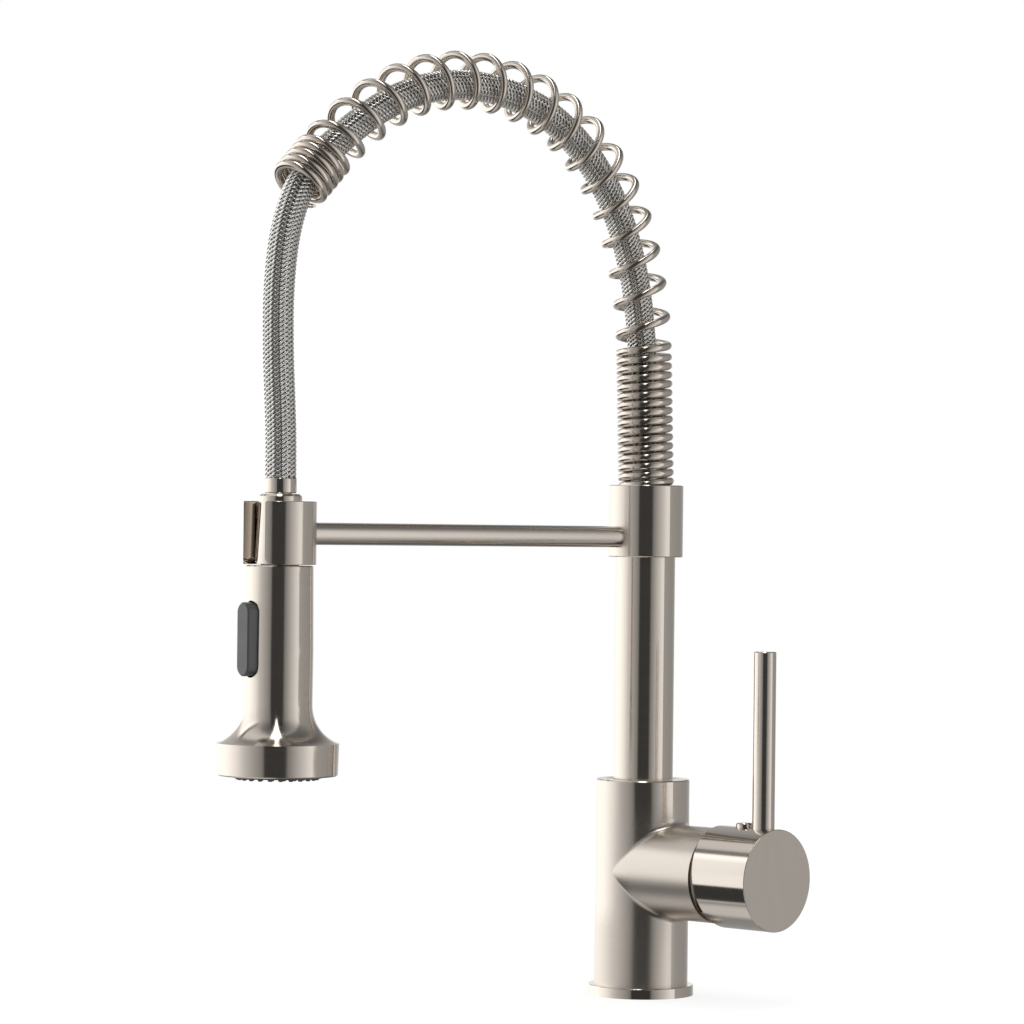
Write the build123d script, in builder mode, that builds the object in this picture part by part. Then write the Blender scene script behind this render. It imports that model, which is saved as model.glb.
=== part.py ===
from build123d import *
from math import cos, pi, radians, sin, sqrt, tan
import os

# Single-handle spring-spout kitchen faucet, in millimetres and degrees.
# Origin: the column's axis at the deck. +Z is up, the spout points along -Y
# and the side handle lies HANDLE_AZIMUTH degrees from +X toward +Y.

# ---------------------------------------------------------------- driving dimensions

# Clearances
RUN_FIT = 0.05            # radial clearance of a shaft or plug in its bore
SLIDE_GAP = 0.3           # clearance between pieces that move past each other
THREAD_GAP = 0.1          # radial clearance of screwed and pushed-in pieces

# Deck flange and its seal
FLANGE_R = 25.0
FLANGE_H = 4.9
FLANGE_EDGE = 0.5
SEAL_INNER_R = 20.0
SEAL_WIDTH = 2.8
SEAL_H = 1.6

# Valve body
BODY_R = 22.25
BODY_TOP_Z = 102.1
BODY_EDGE = 0.5
SPIGOT_R = 18.5
SHANK_R = 16.0
SHANK_DEPTH = 14.0
INLET_R = 4.5
INLET_DEPTH = 9.0
INLET_OFFSET = 8.0
WATERWAY_R = 3.2

# Side branch and handle axis. The branch and its bores follow the knob's radius.
HANDLE_AZIMUTH = 8.0
KNOB_R = 23.7
KNOB_OVERHANG = 1.5
BRANCH_Z = 59.2
BRANCH_R = KNOB_R - KNOB_OVERHANG
BRANCH_END = 48.8
BRANCH_FILLET = 3.0
BRANCH_WALL = 2.0
NUT_SEAT = 41.0
NUT_BORE_R = BRANCH_R - BRANCH_WALL
NUT_SHOULDER = 3.0
CARTRIDGE_SEAT = 15.0
CARTRIDGE_BORE_R = NUT_BORE_R - NUT_SHOULDER

# Cartridge, listed from its seat outward
BASE_PLATE_T = 4.0
HOUSING_WALL = 1.4
HOUSING_TOP_T = 1.5
DISC_T = 3.0
DISC_GAP = 0.05
DISC_TRAVEL = 3.8
MOVING_DISC_R = CARTRIDGE_BORE_R - THREAD_GAP - HOUSING_WALL - DISC_TRAVEL - 2 * SLIDE_GAP
MIXING_RIM = 1.6
MIXING_R = MOVING_DISC_R - MIXING_RIM
MIXING_EDGE = 1.0
CARRIER_T = 3.2
HOUSING_MOUTH_R = 9.5
PORT_R = 2.4
INLET_PORT_X = 6.0
INLET_PORT_Y = 3.6
OUTLET_PORT_Y = -4.4
ROTOR_LENGTH = 13.1
TILT_AXIS_RUN = 38.0
TILT_PIN_R = 1.5
TILT_RANGE = 20.0
NUT_LENGTH = 3.3
NUT_MOUTH_R = 12.5
NUT_NOTCHES = 4
NUT_NOTCH_W = 3.0
NUT_NOTCH_D = 1.2

# Handle
KNOB_REAR_TOP = 49.6
KNOB_REAR_BOTTOM = 55.8
KNOB_FRONT = 84.0
KNOB_EDGE = 0.4
KNOB_WALL = 1.7
KNOB_CAVITY_END = 59.5
STEM_SIDE = 8.0
STEM_START = 33.0
STEM_END = 72.0
TAIL_SIDE = 4.0
TAIL_END = 26.6
TAIL_SWING_SPARE = 0.8
LEVER_R = 5.25
LEVER_RUN = 75.2
LEVER_SEAT = 11.0
LEVER_TOP_Z = 164.5
LEVER_EDGE = 0.4
SCREW_RUN = 63.8
SCREW_HEAD_R = 4.0
SCREW_HEAD_H = 2.8
SCREW_STANDS = 2.0
SCREW_SHANK_R = 2.5
SCREW_SLOT_W = 1.0
SCREW_SLOT_D = 0.9

# Bonnet between the branch and the knob
BONNET_GAP = 0.5
BONNET_REVEAL = 1.0
BONNET_FRONT = 53.5
BONNET_MOUTH_R = 11.0
BONNET_WALL = 1.5
BONNET_SPIGOT_T = 3.0

# Riser and its swivel in the valve body
RISER_R = 14.25
RISER_WALL = 1.5
SWIVEL_FLOOR_Z = 80.0
RISER_JOINT_Z = 95.6
RISER_LAP = 15.0
FOOT_BORE_R = 8.0
RING_SECTION_R = 0.95
RING_HEIGHTS = (83.5, 93.0)
RING_GROOVE_D = 1.95
RING_GROOVE_W = 2.4
STOP_GROOVE_Z = 88.5
STOP_GROOVE_D = 1.8
STOP_GROOVE_W = 3.6
STOP_SCREW_R = 2.5
STOP_TIP_R = 1.4
STOP_SCREW_SUNK = 0.6
BEARING_R = 17.0
BEARING_H = 5.0
BEARING_SUNK = 0.3

# Spout collar
COLLAR_R = 17.8
COLLAR_Z = 207.3
COLLAR_H = 34.0
COLLAR_EDGE = 0.4
COLLAR_LAP = 3.6
COLLAR_SPIGOT_L = 15.0
COLLAR_BORE_R = 6.5
NIPPLE_THREAD_R = 7.0
NIPPLE_THREAD_L = 9.0
SPRING_SEAT_R = 14.4
SPRING_SEAT_DEPTH = 8.0

# Hose nipple and lower hose ferrule, inside the foot of the spring
NIPPLE_HEX = 16.0
NIPPLE_HEX_H = 4.2
NIPPLE_BARB_R = 4.0
NIPPLE_BORE_R = 2.5
CRIMP_R = 7.6
CRIMP_L = 11.8

# Support arm and docking ring
ARM_R = 5.0
ARM_Z = 216.75
ARM_INSET = 9.3
ARM_SCREW_R = 1.5
ARM_SCREW_Y = 16.1
REACH = 210.6
RING_R = 16.2
RING_Z = 203.0
RING_H = 28.0
DOCK_BORE_R = 11.4
DOCK_SLOT_W = 16.8
DOCK_ARM_SEAT = 3.5
DOCK_LOWER_FILLET = 3.5
DOCK_UPPER_FILLET = 1.0
DOCK_RIM_EDGE = 0.4

# Spring: coil radius to the wire's centre, and turns counted from its foot
WIRE_D = 3.5
COIL_R = 11.75
FOOT_LIFT = 0.25
FOOT_ANGLE = 97.0
CLOSE_PITCH = 4.2
BASE_TURNS = 16.975
OPEN_TURNS = 17.4
TOTAL_TURNS = 39.5
PITCH_RAMP = 1.2
LEAST_WIRE_GAP = 0.4

# Arch that the spring follows, from the top of its straight rise, which leans to the spout
RISE_LEAN = 2.0
ARCH_FOOT_Z = 306.0
ARCH_ARCS = ((171.2, 18.75), (99.7, 100.05), (142.0, 15.85))
ARCH_END_RUN = 22.0

# Hose, with its route as (distance along the spout, height) points
HOSE_R = 7.0
HOSE_ARCH_ROUTE = ((0.0, 268.0), (4.2, 316.0), (8.6, 341.5), (19.2, 370.5),
                   (37.5, 396.0), (62.5, 414.0), (92.5, 423.0), (124.0, 422.5),
                   (152.5, 413.0), (178.0, 396.0))
HOSE_DROP_ROUTE = ((199.5, 377.0), (209.5, 354.0), (213.0, 326.0), (212.8, 298.0),
                   (211.4, 274.0), (210.6, 257.5))
ARC_SHARE = 0.45

# Hose end: ferrule and swivelling tailpiece
FERRULE_R = 7.15
FERRULE_TOP_Z = 241.3
FERRULE_BORE_R = 4.05
CRIMP_GROOVE_R = 0.5
CRIMP_GROOVE_HEIGHTS = (236.8, 239.2)
TAIL_BARB_R = 4.0
TAIL_STEM_R = 5.2
TAIL_FLANGE_R = 8.2
TAIL_FLANGE_T = 3.0
TAIL_NOSE_R = 4.9
TAIL_NOSE_L = 8.0
TAIL_BORE_R = 2.5
NOSE_RING_SECTION_R = 0.8
NOSE_RING_DROP = 5.0
NOSE_GROOVE_D = 1.0
NOSE_GROOVE_W = 2.0

# Spray head: dock cone
CONE_TOP_Z = 234.2
CONE_TOP_R = 9.6
CONE_FOOT_Z = 203.3
CONE_FOOT_R = 11.1
CONE_EDGE = 1.0
CONE_COUNTERBORE_R = 8.5
NECK_TOP_Z = 211.2
NECK_BORE_R = 5.6
WASHER_T = 1.5

# Spray head: shell
SHELL_TOP_Z = 202.6
SHELL_TOP_R = 15.0
SHELL_WAIST_Z = 165.0
SHELL_WAIST_R = 15.35
FLARE_TOP_Z = 141.0
FLARE_TOP_R = 15.2
RIM_TOP_Z = 124.0
RIM_TOP_R = 27.3
RIM_FOOT_Z = 109.7
RIM_FOOT_R = 26.85
RIM_EDGE = 0.6
SHELL_TOP_WALL = 2.0
SHELL_BORE_R = 13.2
SHELL_FLARE_BORE_R = 23.4
SHELL_EDGE = 0.5
FACE_SEAT_RISE = 7.3
FACE_SEAT_Z = RIM_FOOT_Z + FACE_SEAT_RISE
FLARE_BORE_RISE = 4.5
SHELL_FLARE_BORE_Z = FACE_SEAT_Z + FLARE_BORE_RISE
FACE_BORE_R = 24.6

# Spray head: waterway core, diverter and spray face
CORE_R = 12.9
CORE_FOOT_Z = 143.0
CORE_TUBE_R = 8.0
SPOOL_BORE_R = 4.3
SPOOL_BORE_TOP_Z = 190.0
SPOOL_BORE_FLOOR_Z = 150.0
SPOOL_R = 4.0
SPOOL_FOOT_Z = 153.5
SPOOL_TOP_Z = 186.5
SPOOL_NECK_R = 2.0
SPOOL_NECK_H = 3.7
SPOOL_RING_Z = 180.0
SPOOL_RING_SECTION_R = 0.7
SPOOL_GROOVE_D = 1.2
SPOOL_GROOVE_W = 1.8
CORE_OUTLET_R = 3.2
DIFFUSER_T = 3.0
DIFFUSER_HOLES = 8
DIFFUSER_HOLE_R = 1.5
DIFFUSER_HOLE_PITCH_R = 12.0
FACE_RING_BORE_R = 20.1
FACE_RING_STEP = 0.2
NOZZLE_FACE_STANDS = 0.9
AERATOR_R = 7.0
AERATOR_BORE_R = 5.4
AERATOR_GRID_T = 1.5
NUB_H = 0.9
NUB_FOOT_R = 1.3
NUB_TIP_R = 0.8
NUB_RING_RADII = (17.6, 13.2)
NUB_COUNTS = (24, 16)

# Spray head: rocker button
BUTTON_Z = 170.1
BUTTON_L = 32.6
BUTTON_W = 9.0
BUTTON_FRONT = 19.6
BUTTON_BACK = 12.2
BUTTON_EDGE = 0.65
BUTTON_WINDOW_GAP = 0.7
ROCKER_AXIS = 10.5
ROCKER_PIN_R = 0.9
ROCKER_PIN_L = 11.8
ROCKER_HUB_R = 2.2
ROCKER_HUB_W = 8.4
POCKET_FLOOR = 7.8
POCKET_SPARE = 0.9
TAIL_TIP = 2.6
TAIL_T = 2.4
TAIL_H = 3.0
TAIL_WINDOW_W = 3.6
TAIL_WINDOW_H = 5.2

os.makedirs("parts", exist_ok=True)

# ---------------------------------------------------------------- planes and axes

handle_dir = Vector(cos(radians(HANDLE_AZIMUTH)), sin(radians(HANDLE_AZIMUTH)), 0)
across_dir = Vector(-handle_dir.Y, handle_dir.X, 0)
branch_centre = Vector(0, 0, BRANCH_Z)
handle_axis = Axis(branch_centre, handle_dir)
# Half section through the handle axis: x runs outward along it, y is up.
handle_section = Plane(origin=branch_centre, x_dir=handle_dir, z_dir=-across_dir)
# Half section through the spray axis: x is sideways, y is the height over the deck.
spray_section = Plane(origin=(0, -REACH, 0), x_dir=(1, 0, 0), z_dir=(0, -1, 0))
spray_axis = Axis((0, -REACH, 0), (0, 0, 1))


def square_to_handle(run):
    """Plane square to the handle axis, at a distance from the column's axis."""
    return Plane(origin=branch_centre + handle_dir * run, x_dir=across_dir, z_dir=handle_dir)


def over_spray(height):
    """Level plane at a height, centred on the spray axis."""
    return Plane(origin=(0, -REACH, height), x_dir=(1, 0, 0), z_dir=(0, 0, 1))


def facing_spray(stand_off):
    """Upright plane in front of the spray axis, looking along the spout."""
    return Plane(origin=(0, -REACH - stand_off, BUTTON_Z), x_dir=(1, 0, 0), z_dir=(0, -1, 0))


# ---------------------------------------------------------------- deck flange and seal

with BuildPart() as deck_flange:
    with BuildSketch():
        Circle(FLANGE_R)
        Circle(SPIGOT_R + THREAD_GAP, mode=Mode.SUBTRACT)
    extrude(amount=FLANGE_H)
    with BuildSketch():
        Circle(SEAL_INNER_R + SEAL_WIDTH + THREAD_GAP)
        Circle(SEAL_INNER_R - THREAD_GAP, mode=Mode.SUBTRACT)
    extrude(amount=SEAL_H, mode=Mode.SUBTRACT)
    top_rim = deck_flange.edges().filter_by(GeomType.CIRCLE).group_by(Axis.Z)[-1].sort_by(SortBy.RADIUS)[-1]
    fillet(top_rim, FLANGE_EDGE)
deck_flange.part.label = "deck_flange"
export_step(deck_flange.part, "parts/deck_flange.step")

with BuildPart() as deck_seal:
    with BuildSketch():
        Circle(SEAL_INNER_R + SEAL_WIDTH)
        Circle(SEAL_INNER_R, mode=Mode.SUBTRACT)
    extrude(amount=SEAL_H)
deck_seal.part.label = "deck_seal"
export_step(deck_seal.part, "parts/deck_seal.step")

# ---------------------------------------------------------------- valve body

inlet_roof_z = SHANK_DEPTH + INLET_DEPTH
inlet_port_z = BRANCH_Z + INLET_PORT_Y
outlet_port_z = BRANCH_Z + OUTLET_PORT_Y

with BuildPart() as valve_body:
    with BuildSketch():
        Circle(SPIGOT_R)
    extrude(amount=FLANGE_H)
    with BuildSketch(Plane.XY.offset(FLANGE_H)):
        Circle(BODY_R)
    extrude(amount=BODY_TOP_Z - FLANGE_H)
    chamfer(valve_body.edges().group_by(Axis.Z)[-1], BODY_EDGE)
    with BuildSketch(square_to_handle(0)):
        Circle(BRANCH_R)
    extrude(amount=BRANCH_END)
    seam = valve_body.edges().filter_by(lambda edge: edge.geom_type not in (GeomType.CIRCLE, GeomType.LINE))
    fillet(seam, BRANCH_FILLET)
    # Threaded bore for the shank, with the two inlets in its roof
    with BuildSketch():
        Circle(SHANK_R)
    extrude(amount=SHANK_DEPTH, mode=Mode.SUBTRACT)
    with BuildSketch(Plane(origin=(0, 0, SHANK_DEPTH), x_dir=handle_dir, z_dir=(0, 0, 1))):
        with Locations((0, -INLET_OFFSET), (0, INLET_OFFSET)):
            Circle(INLET_R)
    extrude(amount=INLET_DEPTH, mode=Mode.SUBTRACT)
    with BuildSketch(Plane(origin=(0, 0, inlet_roof_z), x_dir=handle_dir, z_dir=(0, 0, 1))):
        with Locations((0, -INLET_OFFSET), (0, INLET_OFFSET)):
            Circle(WATERWAY_R)
    extrude(amount=inlet_port_z - inlet_roof_z, mode=Mode.SUBTRACT)
    # Cartridge bore, nut bore and the ports in the cartridge's seat
    with BuildSketch(square_to_handle(BRANCH_END)):
        Circle(CARTRIDGE_BORE_R)
    extrude(amount=CARTRIDGE_SEAT - BRANCH_END, mode=Mode.SUBTRACT)
    with BuildSketch(square_to_handle(BRANCH_END)):
        Circle(NUT_BORE_R)
    extrude(amount=NUT_SEAT - BRANCH_END, mode=Mode.SUBTRACT)
    with BuildSketch(square_to_handle(CARTRIDGE_SEAT)):
        with Locations((-INLET_PORT_X, INLET_PORT_Y), (INLET_PORT_X, INLET_PORT_Y), (0, OUTLET_PORT_Y)):
            Circle(PORT_R)
    extrude(amount=-CARTRIDGE_SEAT - PORT_R, mode=Mode.SUBTRACT)
    # Swivel bore for the riser, its bearing seat and the passage up to it
    with BuildSketch(Plane.XY.offset(outlet_port_z)):
        Circle(WATERWAY_R)
    extrude(amount=SWIVEL_FLOOR_Z - outlet_port_z, mode=Mode.SUBTRACT)
    with BuildSketch(Plane.XY.offset(SWIVEL_FLOOR_Z)):
        Circle(RISER_R + 2 * RUN_FIT)
    extrude(amount=BODY_TOP_Z - SWIVEL_FLOOR_Z, mode=Mode.SUBTRACT)
    with BuildSketch(Plane.XY.offset(BODY_TOP_Z)):
        Circle(BEARING_R)
    extrude(amount=-BEARING_H, mode=Mode.SUBTRACT)
    # Hole for the stop screw, in the back
    with BuildSketch(Plane(origin=(0, RISER_R, STOP_GROOVE_Z), x_dir=(1, 0, 0), z_dir=(0, 1, 0))):
        Circle(STOP_SCREW_R)
    extrude(amount=BODY_R - RISER_R, mode=Mode.SUBTRACT)
valve_body.part.label = "valve_body"
export_step(valve_body.part, "parts/valve_body.step")

with BuildPart() as stop_screw:
    screw_back = BODY_R - STOP_SCREW_SUNK
    thread_front = RISER_R + 2 * SLIDE_GAP
    tip_front = RISER_R - STOP_GROOVE_D + SLIDE_GAP
    with BuildSketch(Plane(origin=(0, thread_front, STOP_GROOVE_Z), x_dir=(1, 0, 0), z_dir=(0, 1, 0))):
        Circle(STOP_SCREW_R - RUN_FIT)
    extrude(amount=screw_back - thread_front)
    with BuildSketch(Plane(origin=(0, tip_front, STOP_GROOVE_Z), x_dir=(1, 0, 0), z_dir=(0, 1, 0))):
        Circle(STOP_TIP_R)
    extrude(amount=thread_front - tip_front)
    with BuildSketch(Plane(origin=(0, screw_back, STOP_GROOVE_Z), x_dir=(1, 0, 0), z_dir=(0, 1, 0))):
        RegularPolygon(radius=STOP_TIP_R, side_count=6)
    extrude(amount=-STOP_SCREW_R, mode=Mode.SUBTRACT)
stop_screw.part.label = "stop_screw"
export_step(stop_screw.part, "parts/stop_screw.step")

with BuildPart() as swivel_bearing:
    with BuildSketch(Plane.XY.offset(BODY_TOP_Z - BEARING_H)):
        Circle(BEARING_R - THREAD_GAP)
        Circle(RISER_R + THREAD_GAP, mode=Mode.SUBTRACT)
    extrude(amount=BEARING_H - BEARING_SUNK)
swivel_bearing.part.label = "swivel_bearing"
export_step(swivel_bearing.part, "parts/swivel_bearing.step")

# ---------------------------------------------------------------- cartridge

base_plate_end = CARTRIDGE_SEAT + BASE_PLATE_T
fixed_disc_end = base_plate_end + DISC_T
moving_disc_start = fixed_disc_end + DISC_GAP
carrier_start = moving_disc_start + DISC_T
carrier_end = carrier_start + CARRIER_T
rotor_start = carrier_end + SLIDE_GAP
rotor_end = rotor_start + ROTOR_LENGTH
housing_top_start = rotor_end + SLIDE_GAP
housing_end = housing_top_start + HOUSING_TOP_T
housing_r = CARTRIDGE_BORE_R - THREAD_GAP
housing_bore_r = housing_r - HOUSING_WALL
port_spots = ((-INLET_PORT_X, INLET_PORT_Y), (INLET_PORT_X, INLET_PORT_Y), (0, OUTLET_PORT_Y))

with BuildPart() as cartridge_base:
    with BuildSketch(square_to_handle(CARTRIDGE_SEAT)):
        Circle(housing_r)
        with Locations(*port_spots):
            Circle(PORT_R, mode=Mode.SUBTRACT)
    extrude(amount=BASE_PLATE_T)
cartridge_base.part.label = "cartridge_base"
export_step(cartridge_base.part, "parts/cartridge_base.step")

with BuildPart() as fixed_disc:
    with BuildSketch(square_to_handle(base_plate_end)):
        Circle(housing_bore_r - THREAD_GAP)
        with Locations(*port_spots):
            Circle(PORT_R, mode=Mode.SUBTRACT)
    extrude(amount=DISC_T)
fixed_disc.part.label = "fixed_disc"
export_step(fixed_disc.part, "parts/fixed_disc.step")

with BuildPart() as cartridge_housing:
    with BuildSketch(square_to_handle(base_plate_end)):
        Circle(housing_r)
        Circle(housing_bore_r, mode=Mode.SUBTRACT)
    extrude(amount=housing_top_start - base_plate_end)
    with BuildSketch(square_to_handle(housing_top_start)):
        Circle(housing_r)
        Circle(HOUSING_MOUTH_R, mode=Mode.SUBTRACT)
    extrude(amount=HOUSING_TOP_T)
cartridge_housing.part.label = "cartridge_housing"
export_step(cartridge_housing.part, "parts/cartridge_housing.step")

with BuildPart() as moving_disc:
    with BuildSketch(square_to_handle(moving_disc_start)):
        Circle(MOVING_DISC_R)
    extrude(amount=DISC_T)
    # Half-moon opening that stays over the outlet and reaches the inlets as it rises
    with BuildSketch(square_to_handle(moving_disc_start)):
        Circle(MIXING_R)
        with Locations((0, MIXING_EDGE + MIXING_R)):
            Rectangle(2 * MIXING_R, 2 * MIXING_R, mode=Mode.SUBTRACT)
    extrude(amount=DISC_T, mode=Mode.SUBTRACT)
moving_disc.part.label = "moving_disc"
export_step(moving_disc.part, "parts/moving_disc.step")

# The stem's tail drives the carrier through a pocket that lets it swing.
with BuildPart() as disc_carrier:
    with BuildSketch(square_to_handle(carrier_start)):
        Circle(MOVING_DISC_R)
    extrude(amount=CARRIER_T)
    with BuildSketch(square_to_handle(carrier_end)):
        Rectangle(TAIL_SIDE + 2 * SLIDE_GAP, TAIL_SIDE + 2 * TAIL_SWING_SPARE)
    extrude(amount=TAIL_END - 2 * SLIDE_GAP - carrier_end, mode=Mode.SUBTRACT)
disc_carrier.part.label = "disc_carrier"
export_step(disc_carrier.part, "parts/disc_carrier.step")

rotor_r = housing_bore_r - SLIDE_GAP
stem_swing = (TILT_AXIS_RUN - rotor_start) * tan(radians(TILT_RANGE)) + TAIL_SIDE / 2 + 2 * SLIDE_GAP
with BuildPart() as cartridge_rotor:
    with BuildSketch(square_to_handle(rotor_start)):
        Circle(rotor_r)
        Rectangle(STEM_SIDE + 2 * SLIDE_GAP, 2 * stem_swing, mode=Mode.SUBTRACT)
    extrude(amount=ROTOR_LENGTH)
    with BuildSketch(Plane(origin=branch_centre + handle_dir * TILT_AXIS_RUN, z_dir=across_dir)):
        Circle(TILT_PIN_R + RUN_FIT)
    extrude(amount=rotor_r, both=True, mode=Mode.SUBTRACT)
cartridge_rotor.part.label = "cartridge_rotor"
export_step(cartridge_rotor.part, "parts/cartridge_rotor.step")

with BuildPart() as tilt_pin:
    with BuildSketch(Plane(origin=branch_centre + handle_dir * TILT_AXIS_RUN, z_dir=across_dir)):
        Circle(TILT_PIN_R)
    extrude(amount=rotor_r - HOUSING_WALL, both=True)
tilt_pin.part.label = "tilt_pin"
export_step(tilt_pin.part, "parts/tilt_pin.step")

with BuildPart() as cartridge_nut:
    with BuildSketch(square_to_handle(housing_end)):
        Circle(NUT_BORE_R - THREAD_GAP)
        Circle(NUT_MOUTH_R, mode=Mode.SUBTRACT)
    extrude(amount=NUT_LENGTH)
    with BuildSketch(square_to_handle(housing_end + NUT_LENGTH)):
        with PolarLocations(NUT_MOUTH_R, NUT_NOTCHES):
            Rectangle(2 * NUT_NOTCH_W, NUT_NOTCH_W)
    extrude(amount=-NUT_NOTCH_D, mode=Mode.SUBTRACT)
cartridge_nut.part.label = "cartridge_nut"
export_step(cartridge_nut.part, "parts/cartridge_nut.step")

# ---------------------------------------------------------------- bonnet

# Its crown is a sphere about the tilt axis, just inside the knob's rear lip.
knob_cavity_r = KNOB_R - KNOB_WALL
knob_lip_reach = sqrt((KNOB_REAR_TOP - TILT_AXIS_RUN) ** 2 + knob_cavity_r ** 2)
crown_r = knob_lip_reach - BONNET_GAP
bonnet_start = housing_end + NUT_LENGTH


def crown_radius_at(run):
    return sqrt(crown_r ** 2 - (run - TILT_AXIS_RUN) ** 2)


crown_start = BRANCH_END + BONNET_REVEAL
crown_middle = (crown_start + BONNET_FRONT) / 2
bonnet_bore_r = NUT_BORE_R - THREAD_GAP - BONNET_SPIGOT_T
with BuildPart() as bonnet:
    with BuildSketch(handle_section):
        with BuildLine():
            Polyline((BONNET_FRONT, crown_radius_at(BONNET_FRONT)), (BONNET_FRONT, BONNET_MOUTH_R),
                     (BONNET_FRONT - BONNET_WALL, BONNET_MOUTH_R),
                     (BONNET_FRONT - BONNET_WALL, bonnet_bore_r), (bonnet_start, bonnet_bore_r),
                     (bonnet_start, NUT_BORE_R - THREAD_GAP), (crown_start, NUT_BORE_R - THREAD_GAP),
                     (crown_start, crown_radius_at(crown_start)))
            ThreePointArc((crown_start, crown_radius_at(crown_start)),
                          (crown_middle, crown_radius_at(crown_middle)),
                          (BONNET_FRONT, crown_radius_at(BONNET_FRONT)))
        make_face()
    revolve(axis=handle_axis)
bonnet.part.label = "bonnet"
export_step(bonnet.part, "parts/bonnet.step")

# ---------------------------------------------------------------- handle

lever_seat_z = BRANCH_Z + LEVER_SEAT
screw_seat_z = BRANCH_Z + KNOB_R + SCREW_STANDS - SCREW_HEAD_H
lever_foot = handle_dir * LEVER_RUN
screw_foot = handle_dir * SCREW_RUN

with BuildPart() as lever_stem:
    with BuildSketch(square_to_handle(STEM_START)):
        Rectangle(STEM_SIDE, STEM_SIDE)
    extrude(amount=STEM_END - STEM_START)
    with BuildSketch(square_to_handle(TAIL_END)):
        Rectangle(TAIL_SIDE, TAIL_SIDE)
    extrude(amount=STEM_START - TAIL_END)
    with BuildSketch(Plane(origin=branch_centre + handle_dir * TILT_AXIS_RUN, z_dir=across_dir)):
        Circle(TILT_PIN_R + RUN_FIT)
    extrude(amount=STEM_SIDE, both=True, mode=Mode.SUBTRACT)
lever_stem.part.label = "lever_stem"
export_step(lever_stem.part, "parts/lever_stem.step")

with BuildPart() as handle_knob:
    with BuildSketch(square_to_handle(KNOB_REAR_TOP)):
        Circle(KNOB_R)
    extrude(amount=KNOB_FRONT - KNOB_REAR_TOP)
    front_rim = handle_knob.edges().sort_by(handle_axis)[-1]
    fillet(front_rim, KNOB_EDGE)
    with BuildSketch(square_to_handle(KNOB_REAR_TOP)):
        Circle(knob_cavity_r)
    extrude(amount=KNOB_CAVITY_END - KNOB_REAR_TOP, mode=Mode.SUBTRACT)
    # Oblique rear edge, which opens the gap that the lower side closes as the lever tilts
    with BuildSketch(handle_section):
        with BuildLine():
            Polyline((KNOB_REAR_TOP, KNOB_R), (KNOB_REAR_BOTTOM, -KNOB_R),
                     (KNOB_REAR_BOTTOM, -2 * KNOB_R), (0, -2 * KNOB_R), (0, KNOB_R), close=True)
        make_face()
    extrude(amount=2 * KNOB_R, both=True, mode=Mode.SUBTRACT)
    # Sockets for the stem, the lever and the retaining screw
    with BuildSketch(square_to_handle(KNOB_CAVITY_END)):
        Rectangle(STEM_SIDE + 2 * RUN_FIT, STEM_SIDE + 2 * RUN_FIT)
    extrude(amount=STEM_END + RUN_FIT - KNOB_CAVITY_END, mode=Mode.SUBTRACT)
    with BuildSketch(Plane(origin=lever_foot + Vector(0, 0, lever_seat_z))):
        Circle(LEVER_R + RUN_FIT)
    extrude(amount=KNOB_R, mode=Mode.SUBTRACT)
    with BuildSketch(Plane(origin=screw_foot + branch_centre)):
        Circle(SCREW_SHANK_R + RUN_FIT)
    extrude(amount=KNOB_R, mode=Mode.SUBTRACT)
    with BuildSketch(Plane(origin=screw_foot + Vector(0, 0, screw_seat_z))):
        Circle(SCREW_HEAD_R + THREAD_GAP)
    extrude(amount=KNOB_R, mode=Mode.SUBTRACT)
handle_knob.part.label = "handle_knob"
export_step(handle_knob.part, "parts/handle_knob.step")

with BuildPart() as handle_lever:
    with BuildSketch(Plane(origin=lever_foot + Vector(0, 0, lever_seat_z))):
        Circle(LEVER_R)
    extrude(amount=LEVER_TOP_Z - lever_seat_z)
    chamfer(handle_lever.edges().group_by(Axis.Z)[-1], LEVER_EDGE)
handle_lever.part.label = "handle_lever"
export_step(handle_lever.part, "parts/handle_lever.step")

with BuildPart() as handle_screw:
    with BuildSketch(Plane(origin=screw_foot + Vector(0, 0, screw_seat_z))):
        Circle(SCREW_HEAD_R)
    extrude(amount=SCREW_HEAD_H)
    fillet(handle_screw.edges().group_by(Axis.Z)[-1], SCREW_STANDS / 2)
    with BuildSketch(Plane(origin=screw_foot + Vector(0, 0, BRANCH_Z + STEM_SIDE / 2))):
        Circle(SCREW_SHANK_R)
    extrude(amount=screw_seat_z - BRANCH_Z - STEM_SIDE / 2)
    with BuildSketch(Plane(origin=screw_foot + Vector(0, 0, screw_seat_z + SCREW_HEAD_H))):
        Rectangle(2 * SCREW_HEAD_R, SCREW_SLOT_W)
    extrude(amount=-SCREW_SLOT_D, mode=Mode.SUBTRACT)
handle_screw.part.label = "handle_screw"
export_step(handle_screw.part, "parts/handle_screw.step")

# ---------------------------------------------------------------- riser

riser_bore_r = RISER_R - RISER_WALL
riser_foot_z = SWIVEL_FLOOR_Z + SLIDE_GAP
riser_top_z = COLLAR_Z + COLLAR_LAP

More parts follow.
